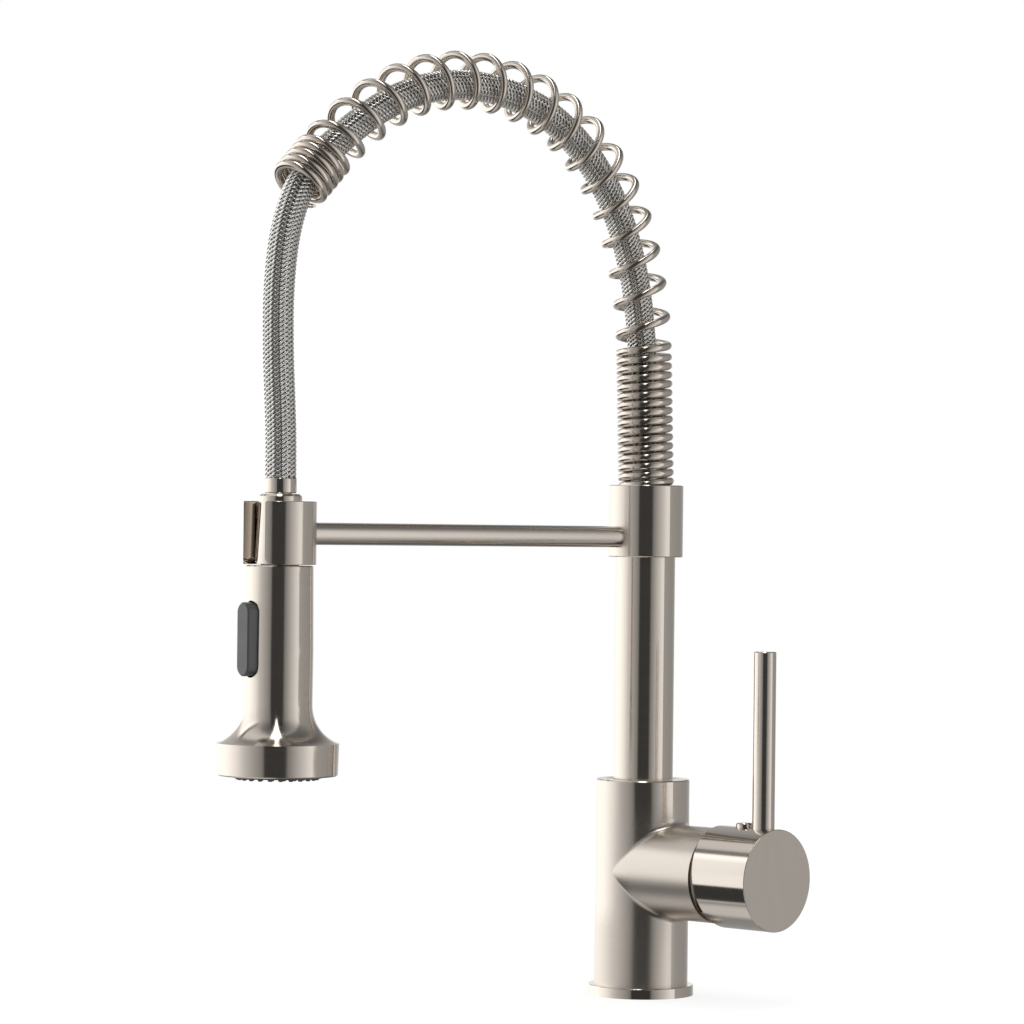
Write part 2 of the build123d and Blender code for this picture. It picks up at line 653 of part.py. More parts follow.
with BuildPart() as riser_foot:
    with BuildSketch(Plane.XY.offset(riser_foot_z)):
        Circle(RISER_R)
        Circle(FOOT_BORE_R, mode=Mode.SUBTRACT)
    extrude(amount=RISER_JOINT_Z - riser_foot_z)
    with BuildSketch(Plane.XY.offset(RISER_JOINT_Z)):
        Circle(riser_bore_r - RUN_FIT)
        Circle(FOOT_BORE_R, mode=Mode.SUBTRACT)
    extrude(amount=RISER_LAP)
    # Two ring grooves and the groove that the stop screw's tip runs in
    for ring_z in RING_HEIGHTS:
        with BuildSketch(Plane.XY.offset(ring_z - RING_GROOVE_W / 2)):
            Circle(RISER_R)
            Circle(RISER_R - RING_GROOVE_D, mode=Mode.SUBTRACT)
        extrude(amount=RING_GROOVE_W, mode=Mode.SUBTRACT)
    with BuildSketch(Plane.XY.offset(STOP_GROOVE_Z - STOP_GROOVE_W / 2)):
        Circle(RISER_R)
        Circle(RISER_R - STOP_GROOVE_D, mode=Mode.SUBTRACT)
    extrude(amount=STOP_GROOVE_W, mode=Mode.SUBTRACT)
riser_foot.part.label = "riser_foot"
export_step(riser_foot.part, "parts/riser_foot.step")

for number, ring_z in enumerate(RING_HEIGHTS, start=1):
    with BuildPart() as riser_ring:
        with BuildSketch(Plane.XZ):
            with Locations((RISER_R - RING_GROOVE_D + RING_SECTION_R + RUN_FIT / 2, ring_z)):
                Circle(RING_SECTION_R)
        revolve(axis=Axis.Z)
    riser_ring.part.label = f"riser_ring_{number}"
    export_step(riser_ring.part, f"parts/riser_ring_{number}.step")

with BuildPart() as riser_tube:
    with BuildSketch(Plane.XY.offset(RISER_JOINT_Z)):
        Circle(RISER_R)
        Circle(riser_bore_r, mode=Mode.SUBTRACT)
    extrude(amount=riser_top_z - RISER_JOINT_Z)
riser_tube.part.label = "riser_tube"
export_step(riser_tube.part, "parts/riser_tube.step")

# ---------------------------------------------------------------- spout collar and arm

collar_top_z = COLLAR_Z + COLLAR_H
spring_floor_z = collar_top_z - SPRING_SEAT_DEPTH
nipple_foot_z = spring_floor_z - NIPPLE_THREAD_L
arm_end_y = REACH - RING_R + DOCK_ARM_SEAT
arm_plane = Plane(origin=(0, -ARM_INSET, ARM_Z), x_dir=(1, 0, 0), z_dir=(0, -1, 0))

with BuildPart() as spout_collar:
    with BuildSketch(Plane.XY.offset(COLLAR_Z)):
        Circle(COLLAR_R)
    extrude(amount=COLLAR_H)
    chamfer(spout_collar.edges().filter_by(GeomType.CIRCLE), COLLAR_EDGE)
    # Lap over the riser's end, and the spigot inside it
    with BuildSketch(Plane.XY.offset(COLLAR_Z)):
        Circle(RISER_R + RUN_FIT)
    extrude(amount=COLLAR_LAP, mode=Mode.SUBTRACT)
    with BuildSketch(Plane.XY.offset(riser_top_z)):
        Circle(riser_bore_r - RUN_FIT)
    extrude(amount=-COLLAR_SPIGOT_L)
    # Waterway, nipple thread and the spring's seat
    with BuildSketch(Plane.XY.offset(riser_top_z - COLLAR_SPIGOT_L)):
        Circle(COLLAR_BORE_R)
    extrude(amount=nipple_foot_z - riser_top_z + COLLAR_SPIGOT_L, mode=Mode.SUBTRACT)
    with BuildSketch(Plane.XY.offset(nipple_foot_z)):
        Circle(NIPPLE_THREAD_R)
    extrude(amount=NIPPLE_THREAD_L, mode=Mode.SUBTRACT)
    with BuildSketch(Plane.XY.offset(spring_floor_z)):
        Circle(SPRING_SEAT_R)
    extrude(amount=SPRING_SEAT_DEPTH, mode=Mode.SUBTRACT)
    # Socket for the arm, and the screw from below that holds it
    with BuildSketch(arm_plane):
        Circle(ARM_R + RUN_FIT)
    extrude(amount=COLLAR_R, mode=Mode.SUBTRACT)
    with BuildSketch(Plane(origin=(0, -ARM_SCREW_Y, COLLAR_Z))):
        Circle(ARM_SCREW_R + RUN_FIT)
    extrude(amount=ARM_Z - COLLAR_Z, mode=Mode.SUBTRACT)
spout_collar.part.label = "spout_collar"
export_step(spout_collar.part, "parts/spout_collar.step")

with BuildPart() as arm_screw:
    with BuildSketch(Plane(origin=(0, -ARM_SCREW_Y, COLLAR_Z + ARM_SCREW_R / 2))):
        Circle(ARM_SCREW_R)
    extrude(amount=ARM_Z - ARM_R - RUN_FIT - COLLAR_Z - ARM_SCREW_R / 2)
arm_screw.part.label = "arm_screw"
export_step(arm_screw.part, "parts/arm_screw.step")

with BuildPart() as support_arm:
    with BuildSketch(arm_plane):
        Circle(ARM_R)
    extrude(amount=arm_end_y - ARM_INSET)
support_arm.part.label = "support_arm"
export_step(support_arm.part, "parts/support_arm.step")

with BuildPart() as docking_ring:
    with BuildSketch(over_spray(RING_Z)):
        Circle(RING_R)
        Circle(DOCK_BORE_R, mode=Mode.SUBTRACT)
    extrude(amount=RING_H)
    fillet(docking_ring.edges().filter_by(GeomType.CIRCLE), DOCK_RIM_EDGE)
    # Slot toward the front, flared where its sides meet the ring's ends
    with BuildSketch(Plane(origin=(0, -REACH, RING_Z), x_dir=(1, 0, 0), z_dir=(0, -1, 0))):
        with Locations((0, RING_H / 2)):
            Rectangle(DOCK_SLOT_W, RING_H)
        with Locations((0, DOCK_LOWER_FILLET / 2)):
            Rectangle(DOCK_SLOT_W + 2 * DOCK_LOWER_FILLET, DOCK_LOWER_FILLET)
        with Locations((0, RING_H - DOCK_UPPER_FILLET / 2)):
            Rectangle(DOCK_SLOT_W + 2 * DOCK_UPPER_FILLET, DOCK_UPPER_FILLET)
        lower_x = DOCK_SLOT_W / 2 + DOCK_LOWER_FILLET
        with Locations((-lower_x, DOCK_LOWER_FILLET), (lower_x, DOCK_LOWER_FILLET)):
            Circle(DOCK_LOWER_FILLET, mode=Mode.SUBTRACT)
        upper_x = DOCK_SLOT_W / 2 + DOCK_UPPER_FILLET
        with Locations((-upper_x, RING_H - DOCK_UPPER_FILLET), (upper_x, RING_H - DOCK_UPPER_FILLET)):
            Circle(DOCK_UPPER_FILLET, mode=Mode.SUBTRACT)
    extrude(amount=RING_R, mode=Mode.SUBTRACT)
    with BuildSketch(Plane(origin=(0, -arm_end_y, ARM_Z), x_dir=(1, 0, 0), z_dir=(0, 1, 0))):
        Circle(ARM_R + RUN_FIT)
    extrude(amount=RING_R, mode=Mode.SUBTRACT)
docking_ring.part.label = "docking_ring"
export_step(docking_ring.part, "parts/docking_ring.step")

# ---------------------------------------------------------------- hose nipple

hose_nipple_hex_top = spring_floor_z + NIPPLE_HEX_H
with BuildPart() as hose_nipple:
    with BuildSketch(Plane.XY.offset(nipple_foot_z)):
        Circle(NIPPLE_THREAD_R - RUN_FIT)
    extrude(amount=NIPPLE_THREAD_L)
    with BuildSketch(Plane.XY.offset(spring_floor_z)):
        RegularPolygon(radius=NIPPLE_HEX / 2, side_count=6, major_radius=False)
    extrude(amount=NIPPLE_HEX_H)
    with BuildSketch(Plane.XY.offset(hose_nipple_hex_top)):
        Circle(NIPPLE_BARB_R)
    extrude(amount=CRIMP_L - SLIDE_GAP)
    with BuildSketch(Plane.XY.offset(nipple_foot_z)):
        Circle(NIPPLE_BORE_R)
    extrude(amount=2 * COLLAR_H, mode=Mode.SUBTRACT)
hose_nipple.part.label = "hose_nipple"
export_step(hose_nipple.part, "parts/hose_nipple.step")

with BuildPart() as hose_crimp:
    with BuildSketch(Plane.XY.offset(hose_nipple_hex_top)):
        Circle(CRIMP_R)
        Circle(NIPPLE_BARB_R + RUN_FIT, mode=Mode.SUBTRACT)
    extrude(amount=CRIMP_L)
hose_crimp.part.label = "hose_crimp"
export_step(hose_crimp.part, "parts/hose_crimp.step")

# ---------------------------------------------------------------- spring

# The wire's centre runs round a centre line: a straight, leaning rise, three
# tangent arcs and a short straight end, all in the spout's plane.
wire_r = WIRE_D / 2
coil_foot_z = spring_floor_z + wire_r + FOOT_LIFT
rise_lean = radians(RISE_LEAN)
coil_rise = (ARCH_FOOT_Z - coil_foot_z) / cos(rise_lean)
arch_length = sum(radius * radians(turn) for radius, turn in ARCH_ARCS)
coil_length = coil_rise + arch_length + ARCH_END_RUN
open_pitch = (coil_length - CLOSE_PITCH * (TOTAL_TURNS - OPEN_TURNS)) / OPEN_TURNS


def coil_frame(run):
    """Centre, outward direction and forward direction at a distance along the coil."""
    risen = min(run, coil_rise)
    y, z, lean = -risen * sin(rise_lean), coil_foot_z + risen * cos(rise_lean), rise_lean
    left = run - risen
    for radius, turn in ARCH_ARCS:
        part_turn = min(left / radius, radians(turn))
        y += radius * (cos(lean + part_turn) - cos(lean))
        z += radius * (sin(lean + part_turn) - sin(lean))
        lean += part_turn
        left -= radius * part_turn
    forward = Vector(0, -sin(lean), cos(lean))
    return Vector(0, y, z) + forward * left, Vector(0, cos(lean), sin(lean)), forward


def ramped(turns, middle):
    """Turns past the middle of a pitch change that is spread over PITCH_RAMP turns."""
    past = turns - (middle - PITCH_RAMP / 2)
    if past <= 0:
        return 0.0
    return past ** 2 / (2 * PITCH_RAMP) if past < PITCH_RAMP else turns - middle


def wire_centre(turns):
    opened = ramped(turns, BASE_TURNS) - ramped(turns, BASE_TURNS + OPEN_TURNS)
    centre, outward, _ = coil_frame(CLOSE_PITCH * turns + (open_pitch - CLOSE_PITCH) * opened)
    angle = radians(FOOT_ANGLE + 360 * turns)
    return centre + Vector(1, 0, 0) * (COIL_R * cos(angle)) + outward * (COIL_R * sin(angle))


def wire_heading(turns):
    step = 0.0001
    return (wire_centre(turns + step) - wire_centre(turns - step)).normalized()


def biarc_joint(start, start_dir, end, end_dir):
    """Where two arcs that join two headings meet, and their heading there."""
    chord = end - start
    both = start_dir + end_dir
    square = 2 * (1 - start_dir.dot(end_dir))
    along = chord.dot(both)
    arm = (sqrt(along ** 2 + square * chord.dot(chord)) - along) / square
    joint = (start + end + (start_dir - end_dir) * arm) * 0.5
    return joint, (chord - both * arm).normalized()


with BuildPart() as spring:
    with BuildLine() as wire:
        here, heading = wire_centre(0), wire_heading(0)
        Line(here - heading * WIRE_D, here)
        for half_turn in range(1, int(2 * TOTAL_TURNS) + 1):
            there, there_heading = wire_centre(half_turn / 2), wire_heading(half_turn / 2)
            joint, joint_heading = biarc_joint(here, heading, there, there_heading)
            TangentArc(here, joint, tangent=heading)
            TangentArc(joint, there, tangent=joint_heading)
            here, heading = there, there_heading
        Line(here, here + heading * WIRE_D)
    wire_path = wire.wires()[0]
    with BuildSketch(Plane(origin=wire_path @ 0, z_dir=wire_path % 0)):
        Circle(wire_r)
    sweep(path=wire_path)
spring.part.label = "spring"
export_step(spring.part, "parts/spring.step")

# Least gap of the wire to itself, between points at least half a turn apart
wire_arcs = wire_path.edges()
samples = [arc @ share for arc in wire_arcs for share in (0, 0.25, 0.5, 0.75)]
half_turn_samples = 8
gaps = [(samples[j] - samples[i]).length - WIRE_D
        for i in range(len(samples))
        for j in range(i + half_turn_samples, min(i + 5 * half_turn_samples, len(samples)))]
print(f"spring: open pitch {open_pitch:.2f}, least gap {min(gaps):.2f} mm",
      "clear" if min(gaps) > LEAST_WIRE_GAP else "TOO CLOSE")
print(f"spring: volume {spring.part.volume:.0f}, section x length {pi * wire_r ** 2 * wire_path.length:.0f}")

# ---------------------------------------------------------------- hose


def hose_radii(points):
    """One arc radius for each corner, as large as its two runs allow."""
    radii = []
    for before, corner, after in zip(points, points[1:], points[2:]):
        first, second = corner - before, after - corner
        half_turn = radians(first.get_angle(second)) / 2
        radii.append(ARC_SHARE * min(first.length, second.length) / tan(half_turn))
    return radii


def report_hose(name, part, path, radii):
    print(f"{name}: radii", [round(radius) for radius in radii],
          f"volume {part.volume:.0f}, section x length {pi * HOSE_R ** 2 * path.length:.0f}")


# The hose is two lengths that meet halfway along the run between its two routes.
hose_foot_z = hose_nipple_hex_top + CRIMP_L
arch_side = [Vector(0, -reach, z) for reach, z in ((0.0, hose_foot_z), *HOSE_ARCH_ROUTE)]
drop_side = [Vector(0, -reach, z) for reach, z in (*HOSE_DROP_ROUTE, (REACH, FERRULE_TOP_Z))]
meeting = (arch_side[-1] + drop_side[0]) * 0.5
all_radii = hose_radii(arch_side + drop_side)
arch_points, arch_radii = arch_side + [meeting], all_radii[:len(HOSE_ARCH_ROUTE)]
drop_points, drop_radii = [meeting] + drop_side, all_radii[len(HOSE_ARCH_ROUTE):]

with BuildPart() as hose_arch:
    with BuildLine() as arch_line:
        FilletPolyline(*arch_points, radius=arch_radii)
    arch_path = arch_line.wires()[0]
    with BuildSketch(Plane(origin=arch_path @ 0, z_dir=arch_path % 0)):
        Circle(HOSE_R)
    sweep(path=arch_path)
hose_arch.part.label = "hose_arch"
export_step(hose_arch.part, "parts/hose_arch.step")
report_hose("hose_arch", hose_arch.part, arch_path, arch_radii)

with BuildPart() as hose_drop:
    with BuildLine() as drop_line:
        FilletPolyline(*drop_points, radius=drop_radii)
    drop_path = drop_line.wires()[0]
    with BuildSketch(Plane(origin=drop_path @ 0, z_dir=drop_path % 0)):
        Circle(HOSE_R)
    sweep(path=drop_path)
hose_drop.part.label = "hose_drop"
export_step(hose_drop.part, "parts/hose_drop.step")
report_hose("hose_drop", hose_drop.part, drop_path, drop_radii)

# ---------------------------------------------------------------- hose end

ferrule_foot_z = CONE_TOP_Z + SLIDE_GAP
washer_top_z = NECK_TOP_Z + WASHER_T
flange_foot_z = washer_top_z + SLIDE_GAP
flange_top_z = flange_foot_z + TAIL_FLANGE_T
cone_shoulder_z = flange_top_z + SLIDE_GAP
nose_foot_z = flange_foot_z - TAIL_NOSE_L
nose_ring_z = flange_foot_z - NOSE_RING_DROP

with BuildPart() as hose_ferrule:
    with BuildSketch(over_spray(ferrule_foot_z)):
        Circle(FERRULE_R)
        Circle(FERRULE_BORE_R, mode=Mode.SUBTRACT)
    extrude(amount=FERRULE_TOP_Z - ferrule_foot_z)
    for groove_z in CRIMP_GROOVE_HEIGHTS:
        with BuildSketch(spray_section):
            with Locations((FERRULE_R, groove_z)):
                Circle(CRIMP_GROOVE_R)
        revolve(axis=spray_axis, mode=Mode.SUBTRACT)
hose_ferrule.part.label = "hose_ferrule"
export_step(hose_ferrule.part, "parts/hose_ferrule.step")

with BuildPart() as hose_tailpiece:
    with BuildSketch(spray_section):
        with BuildLine():
            Polyline((TAIL_BORE_R, nose_foot_z), (TAIL_NOSE_R, nose_foot_z),
                     (TAIL_NOSE_R, nose_ring_z - NOSE_GROOVE_W / 2),
                     (TAIL_NOSE_R - NOSE_GROOVE_D, nose_ring_z - NOSE_GROOVE_W / 2),
                     (TAIL_NOSE_R - NOSE_GROOVE_D, nose_ring_z + NOSE_GROOVE_W / 2),
                     (TAIL_NOSE_R, nose_ring_z + NOSE_GROOVE_W / 2), (TAIL_NOSE_R, flange_foot_z),
                     (TAIL_FLANGE_R, flange_foot_z), (TAIL_FLANGE_R, flange_top_z),
                     (TAIL_STEM_R, flange_top_z), (TAIL_STEM_R, ferrule_foot_z),
                     (TAIL_BARB_R, ferrule_foot_z), (TAIL_BARB_R, FERRULE_TOP_Z - SLIDE_GAP),
                     (TAIL_BORE_R, FERRULE_TOP_Z - SLIDE_GAP), close=True)
        make_face()
    revolve(axis=spray_axis)
hose_tailpiece.part.label = "hose_tailpiece"
export_step(hose_tailpiece.part, "parts/hose_tailpiece.step")

with BuildPart() as tailpiece_ring:
    with BuildSketch(spray_section):
        with Locations((TAIL_NOSE_R - NOSE_GROOVE_D + NOSE_RING_SECTION_R + RUN_FIT, nose_ring_z)):
            Circle(NOSE_RING_SECTION_R)
    revolve(axis=spray_axis)
tailpiece_ring.part.label = "tailpiece_ring"
export_step(tailpiece_ring.part, "parts/tailpiece_ring.step")

# ---------------------------------------------------------------- spray head

with BuildPart() as dock_cone:
    with BuildSketch(spray_section):
        with BuildLine():
            Polyline((CONE_COUNTERBORE_R, CONE_FOOT_Z), (CONE_FOOT_R, CONE_FOOT_Z),
                     (CONE_TOP_R, CONE_TOP_Z - CONE_EDGE), (CONE_TOP_R - CONE_EDGE, CONE_TOP_Z),
                     (TAIL_STEM_R + SLIDE_GAP, CONE_TOP_Z), (TAIL_STEM_R + SLIDE_GAP, cone_shoulder_z),
                     (CONE_COUNTERBORE_R, cone_shoulder_z), close=True)
        make_face()
    revolve(axis=spray_axis)
dock_cone.part.label = "dock_cone"
export_step(dock_cone.part, "parts/dock_cone.step")

with BuildPart() as cone_washer:
    with BuildSketch(over_spray(NECK_TOP_Z)):
        Circle(CONE_COUNTERBORE_R - THREAD_GAP)
        Circle(TAIL_NOSE_R + SLIDE_GAP, mode=Mode.SUBTRACT)
    extrude(amount=WASHER_T)
cone_washer.part.label = "cone_washer"
export_step(cone_washer.part, "parts/cone_washer.step")

shell_ceiling_z = SHELL_TOP_Z - SHELL_TOP_WALL
neck_r = CONE_COUNTERBORE_R - THREAD_GAP
with BuildPart() as spray_shell:
    with BuildSketch(spray_section):
        with BuildLine():
            Polyline((FLARE_TOP_R, FLARE_TOP_Z), (SHELL_WAIST_R, SHELL_WAIST_Z),
                     (SHELL_TOP_R, SHELL_TOP_Z - SHELL_EDGE), (SHELL_TOP_R - SHELL_EDGE, SHELL_TOP_Z),
                     (neck_r + THREAD_GAP, SHELL_TOP_Z), (neck_r + THREAD_GAP, shell_ceiling_z),
                     (SHELL_BORE_R, shell_ceiling_z), (SHELL_BORE_R, FLARE_TOP_Z))
            TangentArc((SHELL_BORE_R, FLARE_TOP_Z), (SHELL_FLARE_BORE_R, SHELL_FLARE_BORE_Z),
                       tangent=(0, -1))
            Polyline((SHELL_FLARE_BORE_R, SHELL_FLARE_BORE_Z), (SHELL_FLARE_BORE_R, FACE_SEAT_Z),
                     (FACE_BORE_R, FACE_SEAT_Z), (FACE_BORE_R, RIM_FOOT_Z),
                     (RIM_FOOT_R - RIM_EDGE, RIM_FOOT_Z), (RIM_FOOT_R, RIM_FOOT_Z + RIM_EDGE),
                     (RIM_TOP_R, RIM_TOP_Z))
            TangentArc((FLARE_TOP_R, FLARE_TOP_Z), (RIM_TOP_R, RIM_TOP_Z), tangent=(0, -1))
        make_face()
    revolve(axis=spray_axis)
    # Window for the rocker button
    with BuildSketch(facing_spray(ROCKER_AXIS)):
        SlotOverall(BUTTON_L + 2 * BUTTON_WINDOW_GAP, BUTTON_W + 2 * BUTTON_WINDOW_GAP, rotation=90)
    extrude(amount=BUTTON_FRONT, mode=Mode.SUBTRACT)
spray_shell.part.label = "spray_shell"
export_step(spray_shell.part, "parts/spray_shell.step")

diffuser_foot_z = FACE_SEAT_Z - DIFFUSER_T
with BuildPart() as spray_core:
    with BuildSketch(spray_section):
        with BuildLine():
            Polyline((NECK_BORE_R, NECK_TOP_Z), (neck_r, NECK_TOP_Z), (neck_r, shell_ceiling_z),
                     (CORE_R, shell_ceiling_z), (CORE_R, CORE_FOOT_Z), (CORE_TUBE_R, CORE_FOOT_Z),
                     (CORE_TUBE_R, FACE_SEAT_Z), (CORE_OUTLET_R, FACE_SEAT_Z),
                     (CORE_OUTLET_R, SPOOL_BORE_FLOOR_Z), (SPOOL_BORE_R, SPOOL_BORE_FLOOR_Z),
                     (SPOOL_BORE_R, SPOOL_BORE_TOP_Z), (NECK_BORE_R, SPOOL_BORE_TOP_Z), close=True)
        make_face()
    revolve(axis=spray_axis)
    # Pocket behind the button, and the slit through which its tail reaches the spool
    with BuildSketch(facing_spray(POCKET_FLOOR)):
        Rectangle(ROCKER_HUB_W + 2 * POCKET_SPARE, BUTTON_L + 2 * POCKET_SPARE)
    extrude(amount=CORE_R, mode=Mode.SUBTRACT)
    with BuildSketch(facing_spray(0)):
        Rectangle(TAIL_WINDOW_W, TAIL_WINDOW_H)
    extrude(amount=CORE_R, mode=Mode.SUBTRACT)
    with BuildSketch(Plane.YZ):
        with Locations((-REACH - ROCKER_AXIS, BUTTON_Z)):
            Circle(ROCKER_PIN_R + RUN_FIT / 2)
    extrude(amount=ROCKER_PIN_L / 2, both=True, mode=Mode.SUBTRACT)
spray_core.part.label = "spray_core"
export_step(spray_core.part, "parts/spray_core.step")

with BuildPart() as rocker_pin:
    with BuildSketch(Plane.YZ):
        with Locations((-REACH - ROCKER_AXIS, BUTTON_Z)):
            Circle(ROCKER_PIN_R)
    extrude(amount=ROCKER_PIN_L / 2, both=True)
rocker_pin.part.label = "rocker_pin"
export_step(rocker_pin.part, "parts/rocker_pin.step")

with BuildPart() as spray_button:
    with BuildSketch(facing_spray(BUTTON_BACK)):
        SlotOverall(BUTTON_L, BUTTON_W, rotation=90)
    extrude(amount=BUTTON_FRONT - BUTTON_BACK)
    front_edges = spray_button.edges().group_by(Axis.Y)[0]
    chamfer(front_edges, BUTTON_EDGE)
    # Hub round the pivot pin, and the tail that moves the spool
    with BuildSketch(Plane.YZ):
        with Locations((-REACH - ROCKER_AXIS, BUTTON_Z)):
            Circle(ROCKER_HUB_R)
    extrude(amount=ROCKER_HUB_W / 2, both=True)
    with BuildSketch(facing_spray(TAIL_TIP)):
        Rectangle(TAIL_T, TAIL_H)
    extrude(amount=ROCKER_AXIS - TAIL_TIP)
    with BuildSketch(Plane.YZ):
        with Locations((-REACH - ROCKER_AXIS, BUTTON_Z)):
            Circle(ROCKER_PIN_R + RUN_FIT)
    extrude(amount=BUTTON_W, both=True, mode=Mode.SUBTRACT)
spray_button.part.label = "spray_button"
export_step(spray_button.part, "parts/spray_button.step")

with BuildPart() as diverter_spool:
    with BuildSketch(spray_section):
        with BuildLine():
            Polyline((0, SPOOL_FOOT_Z), (SPOOL_R, SPOOL_FOOT_Z), (SPOOL_R, BUTTON_Z - SPOOL_NECK_H / 2),
                     (SPOOL_NECK_R, BUTTON_Z - SPOOL_NECK_H / 2), (SPOOL_NECK_R, BUTTON_Z + SPOOL_NECK_H / 2),
                     (SPOOL_R, BUTTON_Z + SPOOL_NECK_H / 2), (SPOOL_R, SPOOL_RING_Z - SPOOL_GROOVE_W / 2),
                     (SPOOL_R - SPOOL_GROOVE_D, SPOOL_RING_Z - SPOOL_GROOVE_W / 2),
                     (SPOOL_R - SPOOL_GROOVE_D, SPOOL_RING_Z + SPOOL_GROOVE_W / 2),
                     (SPOOL_R, SPOOL_RING_Z + SPOOL_GROOVE_W / 2), (SPOOL_R, SPOOL_TOP_Z),
                     (0, SPOOL_TOP_Z), close=True)
        make_face()
    revolve(axis=spray_axis)
diverter_spool.part.label = "diverter_spool"
export_step(diverter_spool.part, "parts/diverter_spool.step")

with BuildPart() as spool_ring:
    with BuildSketch(spray_section):
        with Locations((SPOOL_R - SPOOL_GROOVE_D + SPOOL_RING_SECTION_R + RUN_FIT / 2, SPOOL_RING_Z)):
            Circle(SPOOL_RING_SECTION_R)
    revolve(axis=spray_axis)
spool_ring.part.label = "spool_ring"
export_step(spool_ring.part, "parts/spool_ring.step")

# ---------------------------------------------------------------- spray face

face_foot_z = RIM_FOOT_Z + FACE_RING_STEP
nozzle_foot_z = RIM_FOOT_Z - NOZZLE_FACE_STANDS

with BuildPart() as diffuser:
    with BuildSketch(over_spray(diffuser_foot_z)):
        Circle(FACE_BORE_R - THREAD_GAP)
        Circle(AERATOR_BORE_R, mode=Mode.SUBTRACT)
        with PolarLocations(DIFFUSER_HOLE_PITCH_R, DIFFUSER_HOLES):
            Circle(DIFFUSER_HOLE_R, mode=Mode.SUBTRACT)
    extrude(amount=DIFFUSER_T)
diffuser.part.label = "diffuser"
export_step(diffuser.part, "parts/diffuser.step")

with BuildPart() as face_ring:
    with BuildSketch(over_spray(face_foot_z)):
        Circle(FACE_BORE_R - THREAD_GAP)
        Circle(FACE_RING_BORE_R, mode=Mode.SUBTRACT)
    extrude(amount=diffuser_foot_z - face_foot_z)
face_ring.part.label = "face_ring"
export_step(face_ring.part, "parts/face_ring.step")

with BuildPart() as nozzle_plate:
    with BuildSketch(over_spray(nozzle_foot_z)):
        Circle(FACE_RING_BORE_R - THREAD_GAP)
        Circle(AERATOR_R + THREAD_GAP, mode=Mode.SUBTRACT)
    extrude(amount=diffuser_foot_z - nozzle_foot_z)
    for ring_r, count in zip(NUB_RING_RADII, NUB_COUNTS):
        with BuildSketch(over_spray(nozzle_foot_z)):
            with PolarLocations(ring_r, count):
                Circle(NUB_FOOT_R)
        with BuildSketch(over_spray(nozzle_foot_z - NUB_H)):
            with PolarLocations(ring_r, count):
                Circle(NUB_TIP_R)
        nub_feet, nub_tips = nozzle_plate.pending_faces[:count], nozzle_plate.pending_faces[count:]
        nozzle_plate.pending_faces = []
        nozzle_plate.pending_face_planes = []
        for foot, tip in zip(nub_feet, nub_tips):
            loft(sections=[foot, tip])
nozzle_plate.part.label = "nozzle_plate"
export_step(nozzle_plate.part, "parts/nozzle_plate.step")

with BuildPart() as aerator:
    with BuildSketch(over_spray(nozzle_foot_z)):
        Circle(AERATOR_R)
        Circle(AERATOR_BORE_R, mode=Mode.SUBTRACT)
    extrude(amount=diffuser_foot_z - nozzle_foot_z)
    with BuildSketch(over_spray(nozzle_foot_z + AERATOR_GRID_T)):
        Circle(AERATOR_BORE_R)
    extrude(amount=AERATOR_GRID_T)
aerator.part.label = "aerator"
export_step(aerator.part, "parts/aerator.step")
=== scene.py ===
import math
from bisect import bisect_right

import bmesh
import bpy
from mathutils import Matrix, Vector


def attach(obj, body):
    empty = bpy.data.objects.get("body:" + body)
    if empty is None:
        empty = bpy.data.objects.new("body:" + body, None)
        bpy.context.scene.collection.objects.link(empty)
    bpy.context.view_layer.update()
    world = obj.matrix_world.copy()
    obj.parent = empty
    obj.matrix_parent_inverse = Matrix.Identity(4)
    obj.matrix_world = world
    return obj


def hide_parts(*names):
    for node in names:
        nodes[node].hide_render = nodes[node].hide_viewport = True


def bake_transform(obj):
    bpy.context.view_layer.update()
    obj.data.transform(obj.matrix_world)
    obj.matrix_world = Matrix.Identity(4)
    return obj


# A spring-spout kitchen faucet in brushed nickel, in metres: +Z is up from the
# deck, the spout points along -Y and the lever handle stands toward +X.

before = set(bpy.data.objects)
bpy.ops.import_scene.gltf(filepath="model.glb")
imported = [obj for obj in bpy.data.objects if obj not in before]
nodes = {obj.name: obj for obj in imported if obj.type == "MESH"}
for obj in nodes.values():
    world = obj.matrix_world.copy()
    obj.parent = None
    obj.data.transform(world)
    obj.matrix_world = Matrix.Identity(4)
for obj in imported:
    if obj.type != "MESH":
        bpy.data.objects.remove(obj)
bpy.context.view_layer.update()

# ---------------------------------------------------------------- sizes, in metres

UP = (0, 0, 1)
ALONG_ARM = (0, 1, 0)
SPRAY_Y = -0.2106
HANDLE_AZIMUTH = math.radians(8.0)
ALONG_BRANCH = (math.cos(HANDLE_AZIMUTH), math.sin(HANDLE_AZIMUTH), 0)
SMOOTH_BELOW = math.radians(40)

# Spring: the wire's centre winds round a rise that leans, three tangent arcs, each
# with its radius and degrees, and a straight end. Its last steps are ground thin.
WIRE_R = 0.00185
WIRE_LEAD_IN = 2 * WIRE_R
WIRE_ROUNDNESS = 5
GROUND_STEPS = 12
GROUND_SHARE = 0.55
COIL_R = 0.01165
COIL_FOOT_Z = 0.2353
RISE_LEAN = math.radians(2.0)
ARCH_FOOT_Z = 0.306
ARCH_ARCS = ((0.1712, 18.75), (0.0997, 100.05), (0.142, 15.85))
ARCH_END_RUN = 0.022
COIL_RISE = (ARCH_FOOT_Z - COIL_FOOT_Z) / math.cos(RISE_LEAN)
FOOT_ANGLE = 97.0
CLOSE_PITCH = 0.0042
BASE_TURNS = 16.975
OPEN_TURNS = 17.4
TOTAL_TURNS = 39.5
PITCH_RAMP = 1.2
STEPS_PER_TURN = 36

